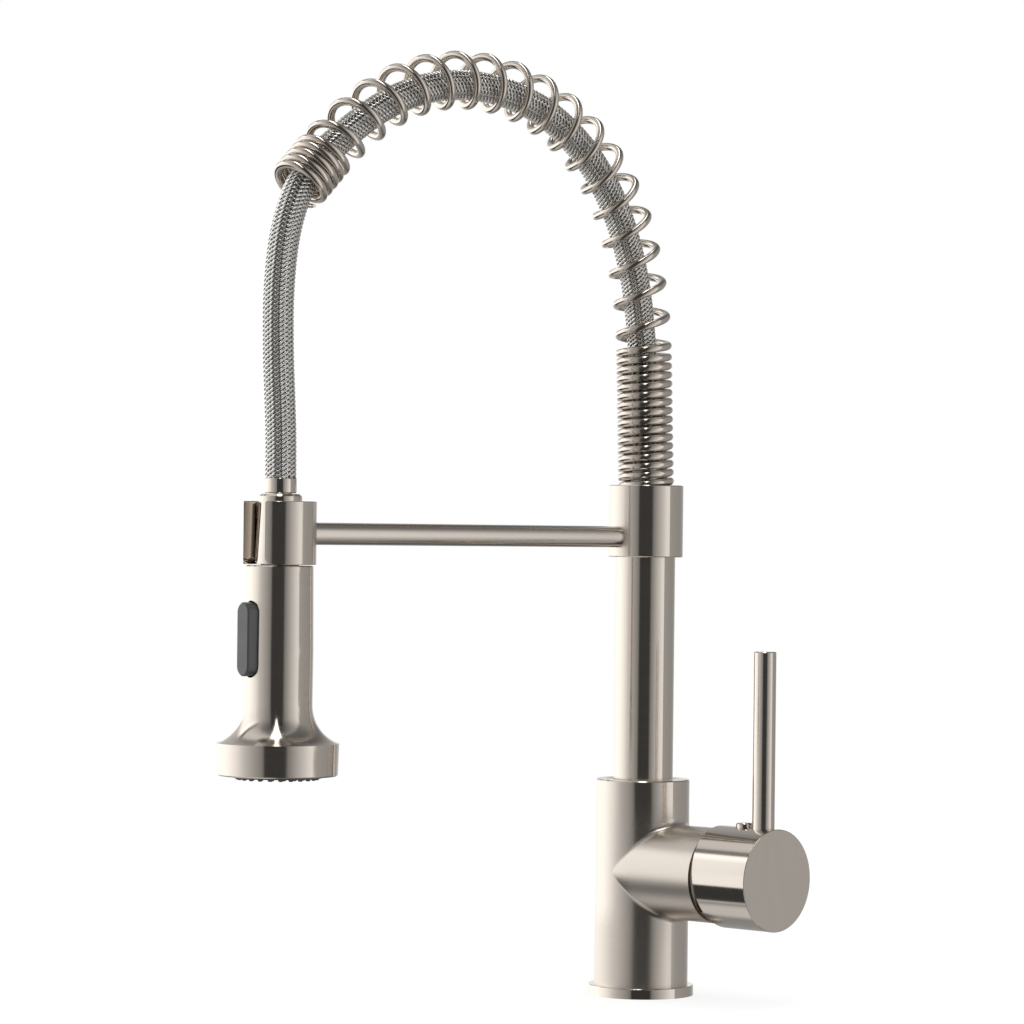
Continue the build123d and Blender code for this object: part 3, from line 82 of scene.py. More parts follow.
# Hose route, as the control points of a smooth curve in the spout's plane.
HOSE_R = 0.007
HOSE_ARCH_ROUTE = (
    (0, 0, 0.2493), (0, 0, 0.268), (0, -0.0042, 0.316), (0, -0.0086, 0.3415),
    (0, -0.0192, 0.3705), (0, -0.0375, 0.396), (0, -0.0625, 0.414), (0, -0.0925, 0.423),
    (0, -0.124, 0.4225), (0, -0.1525, 0.413), (0, -0.178, 0.396), (0, -0.18875, 0.3865),
)
HOSE_DROP_ROUTE = (
    (0, -0.18875, 0.3865), (0, -0.1995, 0.377), (0, -0.2095, 0.354), (0, -0.213, 0.326),
    (0, -0.2128, 0.298), (0, -0.2114, 0.274), (0, -0.2106, 0.2575), (0, -0.2106, 0.2413),
)
HOSE_FINENESS = 24
HOSE_SIDES = 32
HOSE_STEP = 0.002

# Braid: ribbons wind both ways round the hose (1 to the right, -1 to the left) and
# pass over and under each other. Those to the right are wider and stand higher.
BRAID_LAY = 0.0238
BRAID_STRANDS = 12
BRAID_LIFT = 0.00016
STEPS_PER_CROSSING = 4
RIBBON_HALVES = {1: 0.00062, -1: 0.00036}
RIBBON_DROPS = {1: 0.0, -1: 0.0002}
RIBBON_T = 0.00036
RIBBON_SECTION = ((-1, 0), (-0.7, 0.62), (0, 1), (0.7, 0.62), (1, 0))
WIRES_PER_RIBBON = 5

# Ferrule on the hose's end
FERRULE_R = 0.00715
FERRULE_BORE_R = 0.0045
FERRULE_FOOT_Z = 0.2345
FERRULE_TOP_Z = 0.2413
FERRULE_EDGE = 0.0006
FERRULE_EDGE_STEPS = 4
FERRULE_SIDES = 96
FERRULE_BORE_DEPTH = 0.8 * (FERRULE_TOP_Z - FERRULE_FOOT_Z)
SAME_HEIGHT = 1e-5

# ---------------------------------------------------------------- small tools


def deselect():
    bpy.ops.object.select_all(action="DESELECT")


def only(piece):
    deselect()
    piece.select_set(True)
    bpy.context.view_layer.objects.active = piece


def dress(piece, material):
    """Gives a piece one material, in all of its slots."""
    piece.data.materials.clear()
    piece.data.materials.append(material)


def linked(name, data):
    """An object with its data, put in the scene."""
    piece = bpy.data.objects.new(name, data)
    bpy.context.scene.collection.objects.link(piece)
    return piece


class Shading:
    """Short ways to add nodes to one tree."""

    def __init__(self, tree):
        self.nodes = tree.nodes
        self.links = tree.links

    def fill(self, node, inputs):
        """Links or sets a node's inputs."""
        for slot, value in inputs.items():
            if isinstance(value, bpy.types.NodeSocket):
                self.links.new(value, node.inputs[slot])
            else:
                node.inputs[slot].default_value = value

    def node(self, kind, inputs=None, **settings):
        made = self.nodes.new(kind)
        for key, value in settings.items():
            setattr(made, key, value)
        self.fill(made, inputs or {})
        return made

    def math(self, operation, first, second=0.0):
        return self.node("ShaderNodeMath", {0: first, 1: second}, operation=operation).outputs[0]

    def along(self, place, direction):
        """How far a place or direction lies along another."""
        dot = self.node("ShaderNodeVectorMath", {0: place, 1: direction}, operation="DOT_PRODUCT")
        return dot.outputs["Value"]

    def rise(self, value, start, end, **settings):
        """Goes from 0 to 1 between two limits."""
        limits = {"Value": value, "From Min": start, "From Max": end}
        return self.node("ShaderNodeMapRange", limits, **settings).outputs["Result"]

    def spread(self, noise, low, high):
        """Maps the middle of a noise onto a range."""
        start, end = NOISE_MIDDLE
        limits = {"Value": noise, "From Min": start, "From Max": end, "To Min": low, "To Max": high}
        return self.node("ShaderNodeMapRange", limits).outputs["Result"]

    def between(self, share, first, second):
        made = self.node("ShaderNodeMix", {"Factor": share, "A": first, "B": second})
        return made.outputs["Result"]

    def tinted(self, share, colour, dark, light):
        """A colour between two shades of itself."""
        ends = {"Factor": share, "A": shade(colour, dark), "B": shade(colour, light)}
        return self.node("ShaderNodeMix", ends, data_type="RGBA").outputs["Result"]

    def levels(self, value, stops, low, high):
        """Brightness read from (place, level) stops between two ends of a range."""
        ramp_node = self.node("ShaderNodeValToRGB", {"Fac": self.rise(value, low, high)})
        ramp = ramp_node.color_ramp
        for index, (place, level) in enumerate(stops):
            spot = (place - low) / (high - low)
            stop = ramp.elements[index] if index < 2 else ramp.elements.new(spot)
            stop.position = spot
            stop.color = (level, level, level, 1)
        return ramp_node.outputs["Color"]

    def noise(self, scale, stretch=(1, 1, 1), turn=0.0, detail=3.0):
        """Noise on Object coordinates, stretched along the piece's own axis."""
        place = self.node("ShaderNodeTexCoord").outputs["Object"]
        turned = self.node("ShaderNodeMapping",
                           {"Vector": place, "Rotation": (0, 0, turn), "Scale": stretch})
        inputs = {"Vector": turned.outputs["Vector"], "Scale": scale, "Detail": detail}
        return self.node("ShaderNodeTexNoise", inputs).outputs["Fac"]

    def bump(self, height, strength, distance):
        inputs = {"Height": height, "Strength": strength, "Distance": distance}
        return self.node("ShaderNodeBump", inputs).outputs["Normal"]


# ---------------------------------------------------------------- materials

# Marks, clouds and grain are noise scales, a grain's stretch is high along its piece's
# axis, shades are factors of a colour, and a bump is a strength and a depth.
NICKEL = (0.72, 0.655, 0.585, 1)
NOISE_MIDDLE = (0.3, 0.7)
UPRIGHT_GRAIN = (1, 1, 40)
HANDLE_GRAIN = (40, 1, 1)
ARM_GRAIN = (1, 40, 1)
METAL_SHADES = (0.96, 1.03)
METAL_MARKS = 60.0
METAL_BUMP = (0.05, 0.00002)
BRUSHED_SPREAD = 0.7
SQUARE_FROM = 0.9
PLASTIC_SHADES = (0.93, 1.05)
PLASTIC_CLOUDS = 120.0
PLASTIC_GRAIN = 900.0
PLASTIC_BUMP_DEPTH = 0.00003
BRAID_MARKS = 900.0
BRAID_MARK_LEVELS = (0.85, 1.0)
# Painted shade in the grooves between a braid's wires, as a factor of its colour.
BRAID_GROOVE_PAINTED_SHADE = 0.6
BRAID_BUMP = (0.06, 0.00002)


def shade(colour, factor):
    return tuple(channel * factor for channel in colour[:3]) + (1,)


def fresh_material(name):
    material = bpy.data.materials.new(name)
    material.use_nodes = True
    tree = material.node_tree
    return material, Shading(tree), tree.nodes["Principled BSDF"]


def marked_metal(name, colour, scale, stretch, turn=0.0):
    """Metal with fine tool marks, whose roughness is left to the caller."""
    material, shading, bsdf = fresh_material(name)
    marks = shading.noise(scale, stretch, turn)
    shading.fill(bsdf, {
        "Metallic": 1.0,
        "Base Color": shading.tinted(marks, colour, *METAL_SHADES),
        "Normal": shading.bump(marks, *METAL_BUMP),
    })
    return material, shading, bsdf, marks


def metal(name, colour, rough, scale=METAL_MARKS, stretch=(1, 1, 1)):
    """Evenly polished or turned metal; stretch is high along the axis that it was turned about."""
    material, shading, bsdf, marks = marked_metal(name, colour, scale, stretch)
    shading.fill(bsdf, {"Roughness": shading.spread(marks, *rough)})
    return material


def brushed(name, rough, axis, stretch=UPRIGHT_GRAIN, turn=0.0, satin=(), face_rough=None):
    """Nickel brushed round an axis, whose gloss is drawn out along that axis.

    satin is a list of rougher zones, each with its roughness and the limits that it lies between:
    a direction, the run along it where the zone starts, and the run where it is full.
    face_rough is the roughness of faces that are square to the axis.
    """
    material, shading, bsdf, marks = marked_metal(name, NICKEL, METAL_MARKS, stretch, turn)
    # The gloss runs along the axis, and straight across on faces that are square to it.
    normal = shading.node("ShaderNodeNewGeometry").outputs["Normal"]
    lengthwise = shading.node("ShaderNodeVectorTransform", {"Vector": axis}, vector_type="VECTOR",
                              convert_from="OBJECT", convert_to="WORLD").outputs["Vector"]
    facing = shading.along(normal, lengthwise)
    square = shading.math("GREATER_THAN", shading.math("ABSOLUTE", facing), SQUARE_FROM)
    sideways = (-axis[1], axis[0], 0) if abs(axis[2]) < 0.5 else (1, 0, 0)
    tangent = shading.node("ShaderNodeMix", {"Factor": square, 4: lengthwise, 5: sideways},
                           data_type="VECTOR").outputs[1]
    roughness = shading.spread(marks, *rough)
    place = shading.node("ShaderNodeTexCoord").outputs["Object"]
    for zone_rough, limits in satin:
        share = 1.0
        for direction, start, full in limits:
            edge = shading.rise(shading.along(place, direction), start, full,
                                interpolation_type="SMOOTHSTEP")
            share = shading.math("MULTIPLY", edge, share)
        roughness = shading.between(share, roughness, zone_rough)
    if face_rough:
        roughness = shading.between(square, roughness, face_rough)
    shading.fill(bsdf, {"Anisotropic": BRUSHED_SPREAD, "Tangent": tangent, "Roughness": roughness})
    return material


def plastic(name, colour, rough, bump=0.1, specular=0.5):
    """Moulded plastic, rubber or lapped ceramic with a fine grain."""
    material, shading, bsdf = fresh_material(name)
    cloud = shading.noise(PLASTIC_CLOUDS)
    grain = shading.noise(PLASTIC_GRAIN, detail=1.0)
    shading.fill(bsdf, {
        "Specular IOR Level": specular,
        "Base Color": shading.tinted(cloud, colour, *PLASTIC_SHADES),
        "Roughness": shading.spread(cloud, *rough),
        "Normal": shading.bump(grain, bump, PLASTIC_BUMP_DEPTH),
    })
    return material


def braided(name, colour, rough):
    """Flat ribbons of parallel wires, read across each ribbon from its own map."""
    material, shading, bsdf = fresh_material(name)
    place = shading.node("ShaderNodeUVMap", uv_map="wires").outputs["UV"]
    over = shading.node("ShaderNodeSeparateXYZ", {"Vector": place}).outputs["Y"]
    wave = shading.math("SINE", shading.math("MULTIPLY", over, WIRES_PER_RIBBON * math.pi))
    ridges = shading.math("ABSOLUTE", wave)
    marks = shading.noise(BRAID_MARKS)
    # Painted shade: the colour is darker in the grooves between the wires and lighter on their
    # crests, on top of a random tone from the marks.
    painted_crest_light = shading.math("POWER", ridges, 0.5)
    marks_and_painted_groove_shade = shading.math("MULTIPLY", painted_crest_light, shading.spread(marks, *BRAID_MARK_LEVELS))
    shading.fill(bsdf, {
        "Metallic": 1.0,
        "Base Color": shading.tinted(marks_and_painted_groove_shade, colour, BRAID_GROOVE_PAINTED_SHADE, 1.0),
        "Roughness": shading.spread(marks, *rough),
        "Normal": shading.bump(ridges, *BRAID_BUMP),
    })
    return material


# The body's finish is rougher over its branch and towards its foot.
BRANCH_ZONE = ((ALONG_BRANCH, -0.004, 0.016), (UP, 0.026, 0.042), (UP, 0.096, 0.078))
FOOT_ZONE = ((UP, 0.046, 0.030),)

brushed_body = brushed("brushed_nickel_body", (0.14, 0.20), UP,
                       satin=((0.3, FOOT_ZONE), (0.29, BRANCH_ZONE)))
brushed_upright = brushed("brushed_nickel_upright", (0.12, 0.18), UP)
brushed_handle = brushed("brushed_nickel_handle", (0.09, 0.14), ALONG_BRANCH,
                         stretch=HANDLE_GRAIN, turn=-HANDLE_AZIMUTH, face_rough=0.5)
brushed_arm = brushed("brushed_nickel_arm", (0.14, 0.20), ALONG_ARM, stretch=ARM_GRAIN)
bright_nickel = metal("bright_nickel", NICKEL, (0.05, 0.09), 200)
spring_wire = metal("plated_spring_wire", NICKEL, (0.12, 0.17), 500)
braid_wire = braided("braided_wire", (0.90, 0.88, 0.84, 1), (0.12, 0.17))
screw_steel = metal("stainless_screw", (0.60, 0.60, 0.60, 1), (0.2, 0.3), 300)
turned_brass = metal("turned_brass", (0.72, 0.55, 0.28, 1), (0.2, 0.3), stretch=UPRIGHT_GRAIN)
white_acetal = plastic("white_acetal", (0.80, 0.80, 0.77, 1), (0.35, 0.45))
lapped_ceramic = plastic("lapped_ceramic", (0.86, 0.85, 0.82, 1), (0.12, 0.18))
seal_rubber = plastic("seal_rubber", (0.025, 0.025, 0.025, 1), (0.5, 0.65))
button_grey = plastic("button_grey", (0.045, 0.045, 0.047, 1), (0.28, 0.36),
                      bump=0.15, specular=0.7)
face_grey = plastic("face_grey", (0.045, 0.045, 0.045, 1), (0.4, 0.5))
aerator_black = plastic("aerator_black", (0.02, 0.02, 0.02, 1), (0.4, 0.5))
hose_lining = plastic("hose_lining", (0.03, 0.03, 0.03, 1), (0.5, 0.6))

FINISHES = {
    brushed_body: ("valve_body",),
    brushed_upright: ("riser_tube", "spout_collar", "docking_ring", "spray_shell", "handle_lever"),
    brushed_handle: ("handle_knob",),
    brushed_arm: ("support_arm",),
    bright_nickel: ("deck_flange", "bonnet", "handle_screw", "hose_ferrule", "dock_cone"),
    spring_wire: ("spring",),
    screw_steel: ("stop_screw", "tilt_pin", "lever_stem", "hose_crimp", "arm_screw", "rocker_pin"),
    turned_brass: ("cartridge_nut", "riser_foot", "hose_nipple", "hose_tailpiece"),
    white_acetal: ("swivel_bearing", "cartridge_base", "cartridge_housing", "cartridge_rotor",
                   "disc_carrier", "cone_washer", "spray_core", "diffuser", "diverter_spool"),
    lapped_ceramic: ("fixed_disc", "moving_disc"),
    seal_rubber: ("deck_seal", "riser_ring_1", "riser_ring_2", "tailpiece_ring", "spool_ring"),
    button_grey: ("spray_button",),
    face_grey: ("face_ring", "nozzle_plate"),
    aerator_black: ("aerator",),
    hose_lining: ("hose_arch", "hose_drop"),
}
for finish, names in FINISHES.items():
    for name in names:
        dress(nodes[name], finish)

# ---------------------------------------------------------------- spring


def coil_frame(run):
    """Centre and outward direction at a distance along the coil."""
    risen = min(run, COIL_RISE)
    lean = RISE_LEAN
    y, z = -risen * math.sin(lean), COIL_FOOT_Z + risen * math.cos(lean)
    left = run - risen
    for radius, turn in ARCH_ARCS:
        part = min(left / radius, math.radians(turn))
        y += radius * (math.cos(lean + part) - math.cos(lean))
        z += radius * (math.sin(lean + part) - math.sin(lean))
        lean += part
        left -= radius * part
    forward = Vector((0, -math.sin(lean), math.cos(lean)))
    return Vector((0, y, z)) + forward * left, Vector((0, math.cos(lean), math.sin(lean)))


def coil_advance(turns):
    """Distance along the coil after a number of turns: close, open and close again."""
    length = COIL_RISE + sum(r * math.radians(t) for r, t in ARCH_ARCS) + ARCH_END_RUN
    open_pitch = (length - CLOSE_PITCH * (TOTAL_TURNS - OPEN_TURNS)) / OPEN_TURNS

    def ramped(middle):
        past = turns - (middle - PITCH_RAMP / 2)
        if past <= 0:
            return 0.0
        return past ** 2 / (2 * PITCH_RAMP) if past < PITCH_RAMP else turns - middle

    opened = ramped(BASE_TURNS) - ramped(BASE_TURNS + OPEN_TURNS)
    return CLOSE_PITCH * turns + (open_pitch - CLOSE_PITCH) * opened


def wire_centre(turns):
    centre, outward = coil_frame(coil_advance(turns))
    angle = math.radians(FOOT_ANGLE + 360 * turns)
    sideways = Vector((1, 0, 0)) * (COIL_R * math.cos(angle))
    return centre + sideways + outward * (COIL_R * math.sin(angle))


def wire_line():
    """Points along the whole wire, with a short lead-in under the first turn."""
    count = int(TOTAL_TURNS * STEPS_PER_TURN)
    points = [wire_centre(TOTAL_TURNS * step / count) for step in range(count + 1)]
    lead_in = (points[0] - points[1]).normalized() * WIRE_LEAD_IN
    return [points[0] + lead_in] + points


def curve_through(name, kind, points):
    """A curve with one spline that has the points as its own."""
    curve = bpy.data.curves.new(name, "CURVE")
    curve.dimensions = "3D"
    line = curve.splines.new(kind)
    line.points.add(len(points) - 1)
    for spot, point in zip(line.points, points):
        spot.co = (*point, 1)
    return curve, line


def round_wire(name, points, end_shares):
    """A round wire along the points, as a mesh; end_shares are shares of its radius at the end."""
    curve, line = curve_through(name, "POLY", points)
    curve.bevel_depth = WIRE_R
    curve.bevel_resolution = WIRE_ROUNDNESS
    curve.use_fill_caps = True
    for spot, share in zip(reversed(line.points), reversed(end_shares)):
        spot.radius = share
    only(linked(name, curve))
    bpy.ops.object.convert(target="MESH")
    bpy.ops.object.shade_smooth_by_angle(angle=SMOOTH_BELOW)
    return bpy.context.view_layer.objects.active


ground = [1 - GROUND_SHARE * (step / GROUND_STEPS) ** 2 for step in range(GROUND_STEPS + 1)]
spring_coil = round_wire("spring_coil", wire_line(), ground)
dress(spring_coil, spring_wire)
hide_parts("spring")
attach(spring_coil, "spout")

# ---------------------------------------------------------------- hose


def smooth_route(name, points):
    """Evenly fine points read from a NURBS curve with the route's points as its controls."""
    curve, line = curve_through(name, "NURBS", points)
    curve.resolution_u = HOSE_FINENESS
    line.order_u = 3
    line.use_endpoint_u = True
    holder = linked(name, curve)
    bpy.context.view_layer.update()
    read = bpy.data.meshes.new_from_object(holder)
    spots = [vertex.co.copy() for vertex in read.vertices]
    bpy.data.objects.remove(holder)
    bpy.data.meshes.remove(read)
    return spots


class Route:
    """A line in the spout's plane that gives a place and directions at a distance along it."""

    def __init__(self, spots, start_run=0.0):
        self.spots = spots
        self.start_run = start_run
        self.runs = [0.0]
        for here, there in zip(spots, spots[1:]):
            self.runs.append(self.runs[-1] + (there - here).length)
        self.length = self.runs[-1]

    def at(self, run):
        """The place, two directions across the line, and the direction along it."""
        run = min(max(run, 0.0), self.length)
        low = min(bisect_right(self.runs, run) - 1, len(self.runs) - 2)
        share = (run - self.runs[low]) / (self.runs[low + 1] - self.runs[low])
        here = self.spots[low].lerp(self.spots[low + 1], share)
        before = self.spots[max(low - 1, 0)]
        after = self.spots[min(low + 2, len(self.spots) - 1)]
        forward = (after - before).normalized()
        side = Vector((1, 0, 0))
        return here, side, forward.cross(side).normalized(), forward


def mesh_piece(name, vertices, faces):
    mesh = bpy.data.meshes.new(name)
    mesh.from_pydata(vertices, [], faces)
    mesh.update()
    piece = linked(name, mesh)
    only(piece)
    bpy.ops.object.shade_smooth()
    return piece


def hose_tube(name, route, radius):
    """The hose's smooth inner tube, with closed ends."""
    rings = max(2, int(route.length / HOSE_STEP))
    vertices, faces = [], []
    for ring in range(rings + 1):
        here, side, out, _ = route.at(route.length * ring / rings)
        for corner in range(HOSE_SIDES):
            angle = 2 * math.pi * corner / HOSE_SIDES
            across, outward = radius * math.cos(angle), radius * math.sin(angle)
            vertices.append(here + side * across + out * outward)
    for ring in range(rings):
        first, second = ring * HOSE_SIDES, (ring + 1) * HOSE_SIDES
        for corner in range(HOSE_SIDES):
            after = (corner + 1) % HOSE_SIDES
            faces.append((first + corner, first + after, second + after, second + corner))
    faces.append(tuple(range(HOSE_SIDES))[::-1])
    faces.append(tuple(range(rings * HOSE_SIDES, (rings + 1) * HOSE_SIDES)))
    return mesh_piece(name, vertices, faces)


def braid_layer(name, route, hand):
    """The ribbons that wind one way round the hose, with a map that counts across each ribbon."""
    crossing = BRAID_LAY / (2 * BRAID_STRANDS)
    steps = max(8, int(route.length / crossing * STEPS_PER_CROSSING))
    corners = len(RIBBON_SECTION)
    vertices, faces, places = [], [], []
    for strand in range(BRAID_STRANDS):
        base = len(vertices)
        for step in range(steps + 1):
            run = route.length * step / steps
            here, side, out, forward = route.at(run)
            lays = (run + route.start_run) / BRAID_LAY
            angle = 2 * math.pi * (hand * lays + strand / BRAID_STRANDS)
            wave = hand * math.cos(2 * math.pi * BRAID_STRANDS * lays)
            middle_r = HOSE_R - RIBBON_T - BRAID_LIFT + BRAID_LIFT * wave - RIBBON_DROPS[hand]
            up = side * math.cos(angle) + out * math.sin(angle)
            round_ = (out * math.cos(angle) - side * math.sin(angle)) * hand
            across = (round_ * BRAID_LAY - forward * (2 * math.pi * HOSE_R)).normalized() * hand
            middle = here + up * middle_r
            for reach, height in RIBBON_SECTION:
                sideways = across * (RIBBON_HALVES[hand] * reach)
                vertices.append(middle + sideways + up * (RIBBON_T * height))
        for step in range(steps):
            row = base + corners * step
            for corner in range(corners - 1):
                here, there = row + corner, row + corner + corners
                faces.append((here, here + 1, there + 1, there))
                low, high = corner / (corners - 1), (corner + 1) / (corners - 1)
                places += [step, low, step, high, step + 1, high, step + 1, low]
    piece = mesh_piece(name, vertices, faces)
    piece.data.uv_layers.new(name="wires").data.foreach_set("uv", places)
    return piece


arch_route = Route(smooth_route("arch_line", HOSE_ARCH_ROUTE))
drop_route = Route(smooth_route("drop_line", HOSE_DROP_ROUTE), arch_route.length)

for part, route in (("arch", arch_route), ("drop", drop_route)):
    hose = hose_tube(f"hose_{part}_tube", route, HOSE_R - RIBBON_T - 2 * BRAID_LIFT)
    dress(hose, hose_lining)
    layers = [braid_layer(f"hose_{part}_braid_{word}", route, hand)
              for word, hand in (("right", 1), ("left", -1))]
    for layer in layers:
        dress(layer, braid_wire)
    for piece in (hose, *layers):
        if part == "arch":
            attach(piece, "spout")
        else:
            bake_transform(piece)
    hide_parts(f"hose_{part}")

# ---------------------------------------------------------------- ferrule on the hose's end


def select_where(mesh_data, kind, test):
    """Selects the edges or faces that pass a test, and nothing else, in edit mode."""
    bpy.ops.mesh.select_mode(type=kind)
    bpy.ops.mesh.select_all(action="DESELECT")
    shape = bmesh.from_edit_mesh(mesh_data)
    for part in shape.edges if kind == "EDGE" else shape.faces:
        part.select = test(part)
    bmesh.update_edit_mesh(mesh_data)


def is_level(edge):
    first, second = edge.verts
    return abs(first.co.z - second.co.z) < SAME_HEIGHT


def is_foot(face):
    return len(face.verts) == FERRULE_SIDES and face.normal.z < 0


def plain_ferrule():
    """A smooth pressed sleeve with rounded rims and its bore."""
    deselect()
    middle = (0, SPRAY_Y, (FERRULE_TOP_Z + FERRULE_FOOT_Z) / 2)
    bpy.ops.mesh.primitive_cylinder_add(vertices=FERRULE_SIDES, radius=FERRULE_R,
                                        depth=FERRULE_TOP_Z - FERRULE_FOOT_Z, location=middle)
    sleeve = bpy.context.object
    sleeve.name = "ferrule_sleeve"
    bpy.ops.object.transform_apply(location=True, rotation=True, scale=True)
    bpy.ops.object.mode_set(mode="EDIT")
    select_where(sleeve.data, "EDGE", is_level)
    bpy.ops.mesh.bevel(offset=FERRULE_EDGE, segments=FERRULE_EDGE_STEPS)
    select_where(sleeve.data, "FACE", is_foot)
    bpy.ops.mesh.inset(thickness=FERRULE_R - FERRULE_EDGE - FERRULE_BORE_R)
    upward = {"value": (0, 0, FERRULE_BORE_DEPTH)}
    bpy.ops.mesh.extrude_region_move(TRANSFORM_OT_translate=upward)
    bpy.ops.object.mode_set(mode="OBJECT")
    bpy.ops.object.shade_smooth_by_angle(angle=SMOOTH_BELOW)
    return sleeve


ferrule = plain_ferrule()
dress(ferrule, bright_nickel)
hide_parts("hose_ferrule")
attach(ferrule, "hose_end")

# ---------------------------------------------------------------- studio

CAMERA_SPOT = Vector((1.4574, -1.2191, 0.2194))
CAMERA_AZIMUTH = math.radians(52.0)
CAMERA_ROLL = 0.0111
CAMERA_REACH = 50
FRAME_PIXELS = 1024
FOCAL_PIXELS = 4000
HORIZON_DROP_PIXELS = 18
SENSOR_MM = 36
TO_THE_RIGHT = (math.cos(CAMERA_AZIMUTH), math.sin(CAMERA_AZIMUTH), 0)
TO_THE_CAMERA = (math.sin(CAMERA_AZIMUTH), -math.cos(CAMERA_AZIMUTH), 0)

WHITE = (1, 1, 1, 1)
FLOOR_SIZE = 6
FLOOR_COLOUR = (0.9, 0.9, 0.89, 1)
FLOOR_GLOW = 1.025
FLOOR_GLOW_SHARE = 0.8
LAMP_OUT = 1.0
LAMP_HEIGHT = 2.4
LAMP_WIDTH = 0.35
LAMP_LENGTH = 2.6
LAMP_WATTS = 20

# Brightness of the studio that the metal mirrors, as (angle, level) stops in degrees.
# An azimuth is counted to the right of the camera, round the object. A ring of panels
# stands round it, whose heights differ at the left, at the back and elsewhere.
RING_LEVELS = (
    (-180, 0.9), (-168, 1.25), (-150, 1.3), (-138, 1.5), (-112, 1.55), (-100, 1.42),
    (-88, 1.27), (-78, 1.1), (-68, 0.82), (-58, 0.62), (-44, 0.46), (-28, 0.29), (-24, 0.22),
    (-21, 0.045), (18, 0.045), (23, 0.24), (38, 0.47), (55, 0.74), (68, 0.98), (77, 1.0),
    (80.5, 0.42), (100, 0.38), (130, 0.34), (148, 0.40), (160, 0.55), (172, 0.85), (180, 0.95),
)
LEFT_SIDE = ((-180, 1), (-78, 1), (-62, 0), (180, 0))
BACK_SIDE = ((-180, 1), (-146, 1), (-132, 0), (132, 0), (150, 1), (180, 1))
LEFT_HEIGHTS = (
    (-90, 0.35), (-48, 0.45), (-44, 0.45), (-40, 0.2), (-37.5, 0.5), (-36, 0.035), (-14, 0.035),
    (-11.5, 0.98), (2, 1.0), (9, 0.96), (28, 0.92), (34, 1.15), (37.5, 1.15), (38.5, 0.12),
    (43, 0.12), (44.5, 0.5), (60, 0.5), (90, 0.4),
)
BACK_HEIGHTS = (
    (-90, 0.2), (-40, 0.25), (-12, 0.5), (-8, 1), (9, 1), (14, 0.5), (30, 0.4), (46, 0.2), (90, 0.3),
)
SIDE_HEIGHTS = (
    (-90, 0.4), (-55, 0.6), (-44, 1.05), (0, 1.0), (32, 0.9), (50, 0.45), (60, 0.35), (90, 0.3),
)

# A white strip runs overhead toward the camera. Its middle, half width, soft edge and
# back end are places on a unit sphere; its half width and brightness go by height.
STRIP_MIDDLE = -0.03
STRIP_HALVES = ((-90, 0.03), (36, 0.03), (60, 0.07), (90, 0.13))
STRIP_EDGE = 0.02
STRIP_BACK_END = (-0.6, -0.45)
STRIP_LEVEL = 3.5
STRIP_HEIGHTS = ((-90, 0), (31, 0), (39, 1), (90, 1))


def add_camera():
    """A camera at the photograph's spot and angle."""
    bpy.ops.object.camera_add(location=CAMERA_SPOT, rotation=(math.pi / 2, 0, CAMERA_AZIMUTH))
    camera = bpy.context.object
    camera.name = "photo_camera"
    camera.rotation_euler.rotate_axis("Z", CAMERA_ROLL)
    camera.data.sensor_width = SENSOR_MM
    camera.data.lens = SENSOR_MM * FOCAL_PIXELS / FRAME_PIXELS
    camera.data.shift_y = HORIZON_DROP_PIXELS / FRAME_PIXELS
    camera.data.clip_end = CAMERA_REACH
    bpy.context.scene.camera = camera


def add_floor():
    """A pale floor that looks like lit paper, and still keeps the faucet's shadow."""
    bpy.ops.mesh.primitive_plane_add(size=FLOOR_SIZE, location=(0, 0, 0))
    floor = bpy.context.object
    floor.name = "studio_floor"
    material = bpy.data.materials.new("pale_floor")
    material.use_nodes = True
    material.node_tree.nodes.clear()
    shading = Shading(material.node_tree)
    matte = shading.node("ShaderNodeBsdfDiffuse", {"Color": FLOOR_COLOUR}).outputs["BSDF"]
    paper = shading.node("ShaderNodeEmission", {"Strength": FLOOR_GLOW}).outputs["Emission"]
    in_view = shading.node("ShaderNodeLightPath").outputs["Is Camera Ray"]
    share = shading.math("MULTIPLY", in_view, FLOOR_GLOW_SHARE)
    seen = shading.node("ShaderNodeMixShader", {"Fac": share, 1: matte, 2: paper}).outputs["Shader"]
    shading.node("ShaderNodeOutputMaterial", {"Surface": seen})
    dress(floor, material)
    floor.visible_glossy = False


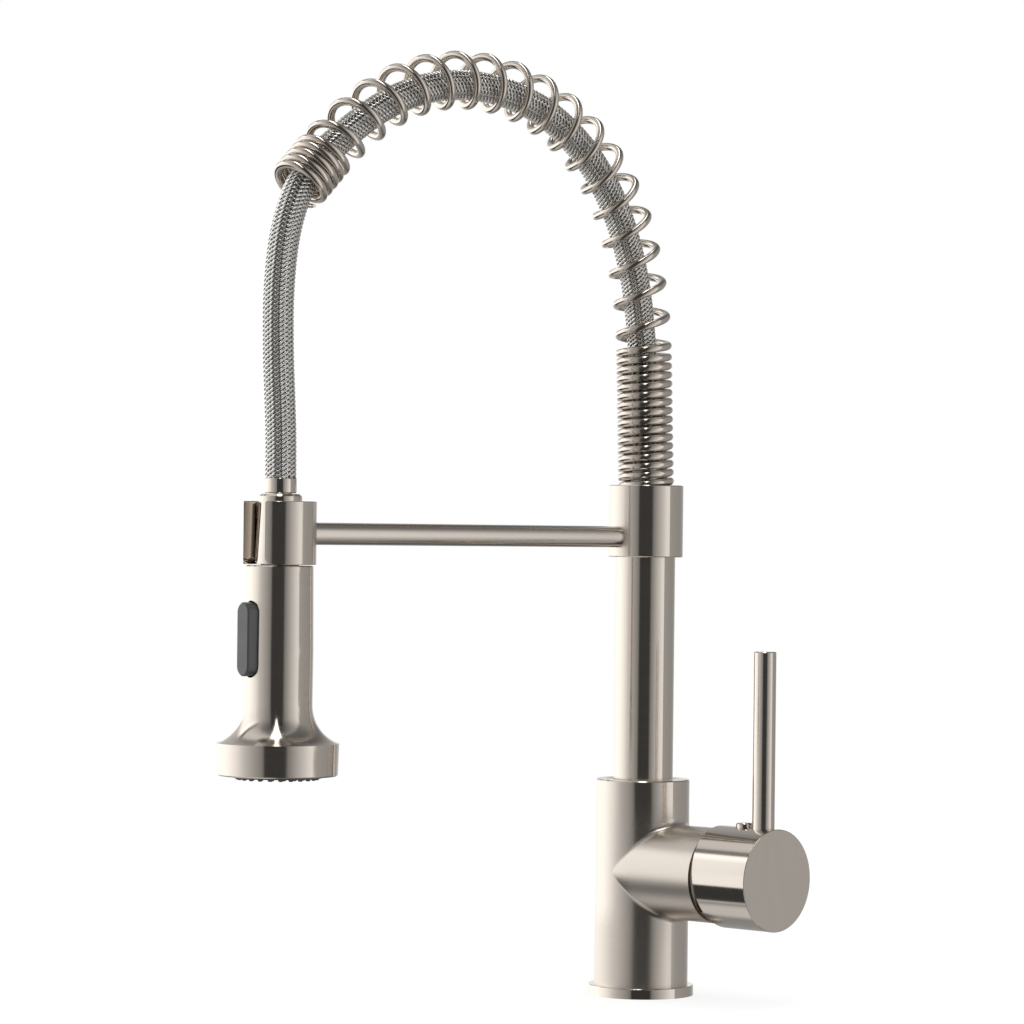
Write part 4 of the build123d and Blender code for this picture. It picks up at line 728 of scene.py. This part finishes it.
def add_world():
    """Plain white for all that isn't mirrored, and the ring and the strip for what is."""
    world = bpy.data.worlds.new("studio")
    bpy.context.scene.world = world
    world.use_nodes = True
    world.node_tree.nodes.clear()
    shading = Shading(world.node_tree)
    way = shading.node("ShaderNodeTexCoord").outputs["Generated"]
    turned = shading.node("ShaderNodeMapping",
                          {"Vector": way, "Rotation": (0, 0, math.pi / 2 - CAMERA_AZIMUTH)})
    turn = shading.node("ShaderNodeTexGradient", {"Vector": turned.outputs["Vector"]},
                        gradient_type="RADIAL").outputs["Fac"]
    azimuth = shading.math("MULTIPLY", shading.math("SUBTRACT", turn, 0.5), 360.0)
    upward = shading.node("ShaderNodeSeparateXYZ", {"Vector": way}).outputs["Z"]
    height = shading.math("DEGREES", shading.math("ARCSINE", upward))

    def by_azimuth(stops):
        return shading.levels(azimuth, stops, -180, 180)

    def by_height(stops):
        return shading.levels(height, stops, -90, 90)

    profile = shading.between(by_azimuth(LEFT_SIDE), by_height(SIDE_HEIGHTS), by_height(LEFT_HEIGHTS))
    profile = shading.between(by_azimuth(BACK_SIDE), profile, by_height(BACK_HEIGHTS))
    ring = shading.math("MULTIPLY", by_azimuth(RING_LEVELS), profile)

    off_middle = shading.math("SUBTRACT", shading.along(way, TO_THE_RIGHT), STRIP_MIDDLE)
    half = by_height(STRIP_HALVES)
    in_strip = shading.rise(shading.math("ABSOLUTE", off_middle), half,
                            shading.math("SUBTRACT", half, STRIP_EDGE))
    in_front = shading.rise(shading.along(way, TO_THE_CAMERA), *STRIP_BACK_END)
    strip = shading.math("MULTIPLY", shading.math("MULTIPLY", in_strip, in_front),
                         by_height(STRIP_HEIGHTS))

    level = shading.math("ADD", ring, shading.math("MULTIPLY", strip, STRIP_LEVEL))
    mirrored = shading.node("ShaderNodeBackground", {"Color": WHITE, "Strength": level})
    plain = shading.node("ShaderNodeBackground", {"Color": WHITE, "Strength": 1.0})
    is_mirrored = shading.node("ShaderNodeLightPath").outputs["Is Glossy Ray"]
    seen = shading.node("ShaderNodeMixShader",
                        {0: is_mirrored, 1: plain.outputs[0], 2: mirrored.outputs[0]})
    shading.node("ShaderNodeOutputWorld", {"Surface": seen.outputs[0]})


def add_overhead_lamp():
    """A long narrow light over the faucet, in line with the camera."""
    spot = Vector(TO_THE_CAMERA) * LAMP_OUT + Vector((0, 0, LAMP_HEIGHT))
    bpy.ops.object.light_add(type="AREA", location=spot)
    light = bpy.context.object
    light.name = "overhead_strip"
    light.data.shape = "RECTANGLE"
    light.data.size = LAMP_WIDTH
    light.data.size_y = LAMP_LENGTH
    light.data.energy = LAMP_WATTS
    light.rotation_euler = (0, 0, CAMERA_AZIMUTH)
    light.visible_glossy = False


add_camera()
add_floor()
add_world()
add_overhead_lamp()
bpy.context.scene.view_settings.view_transform = "Standard"
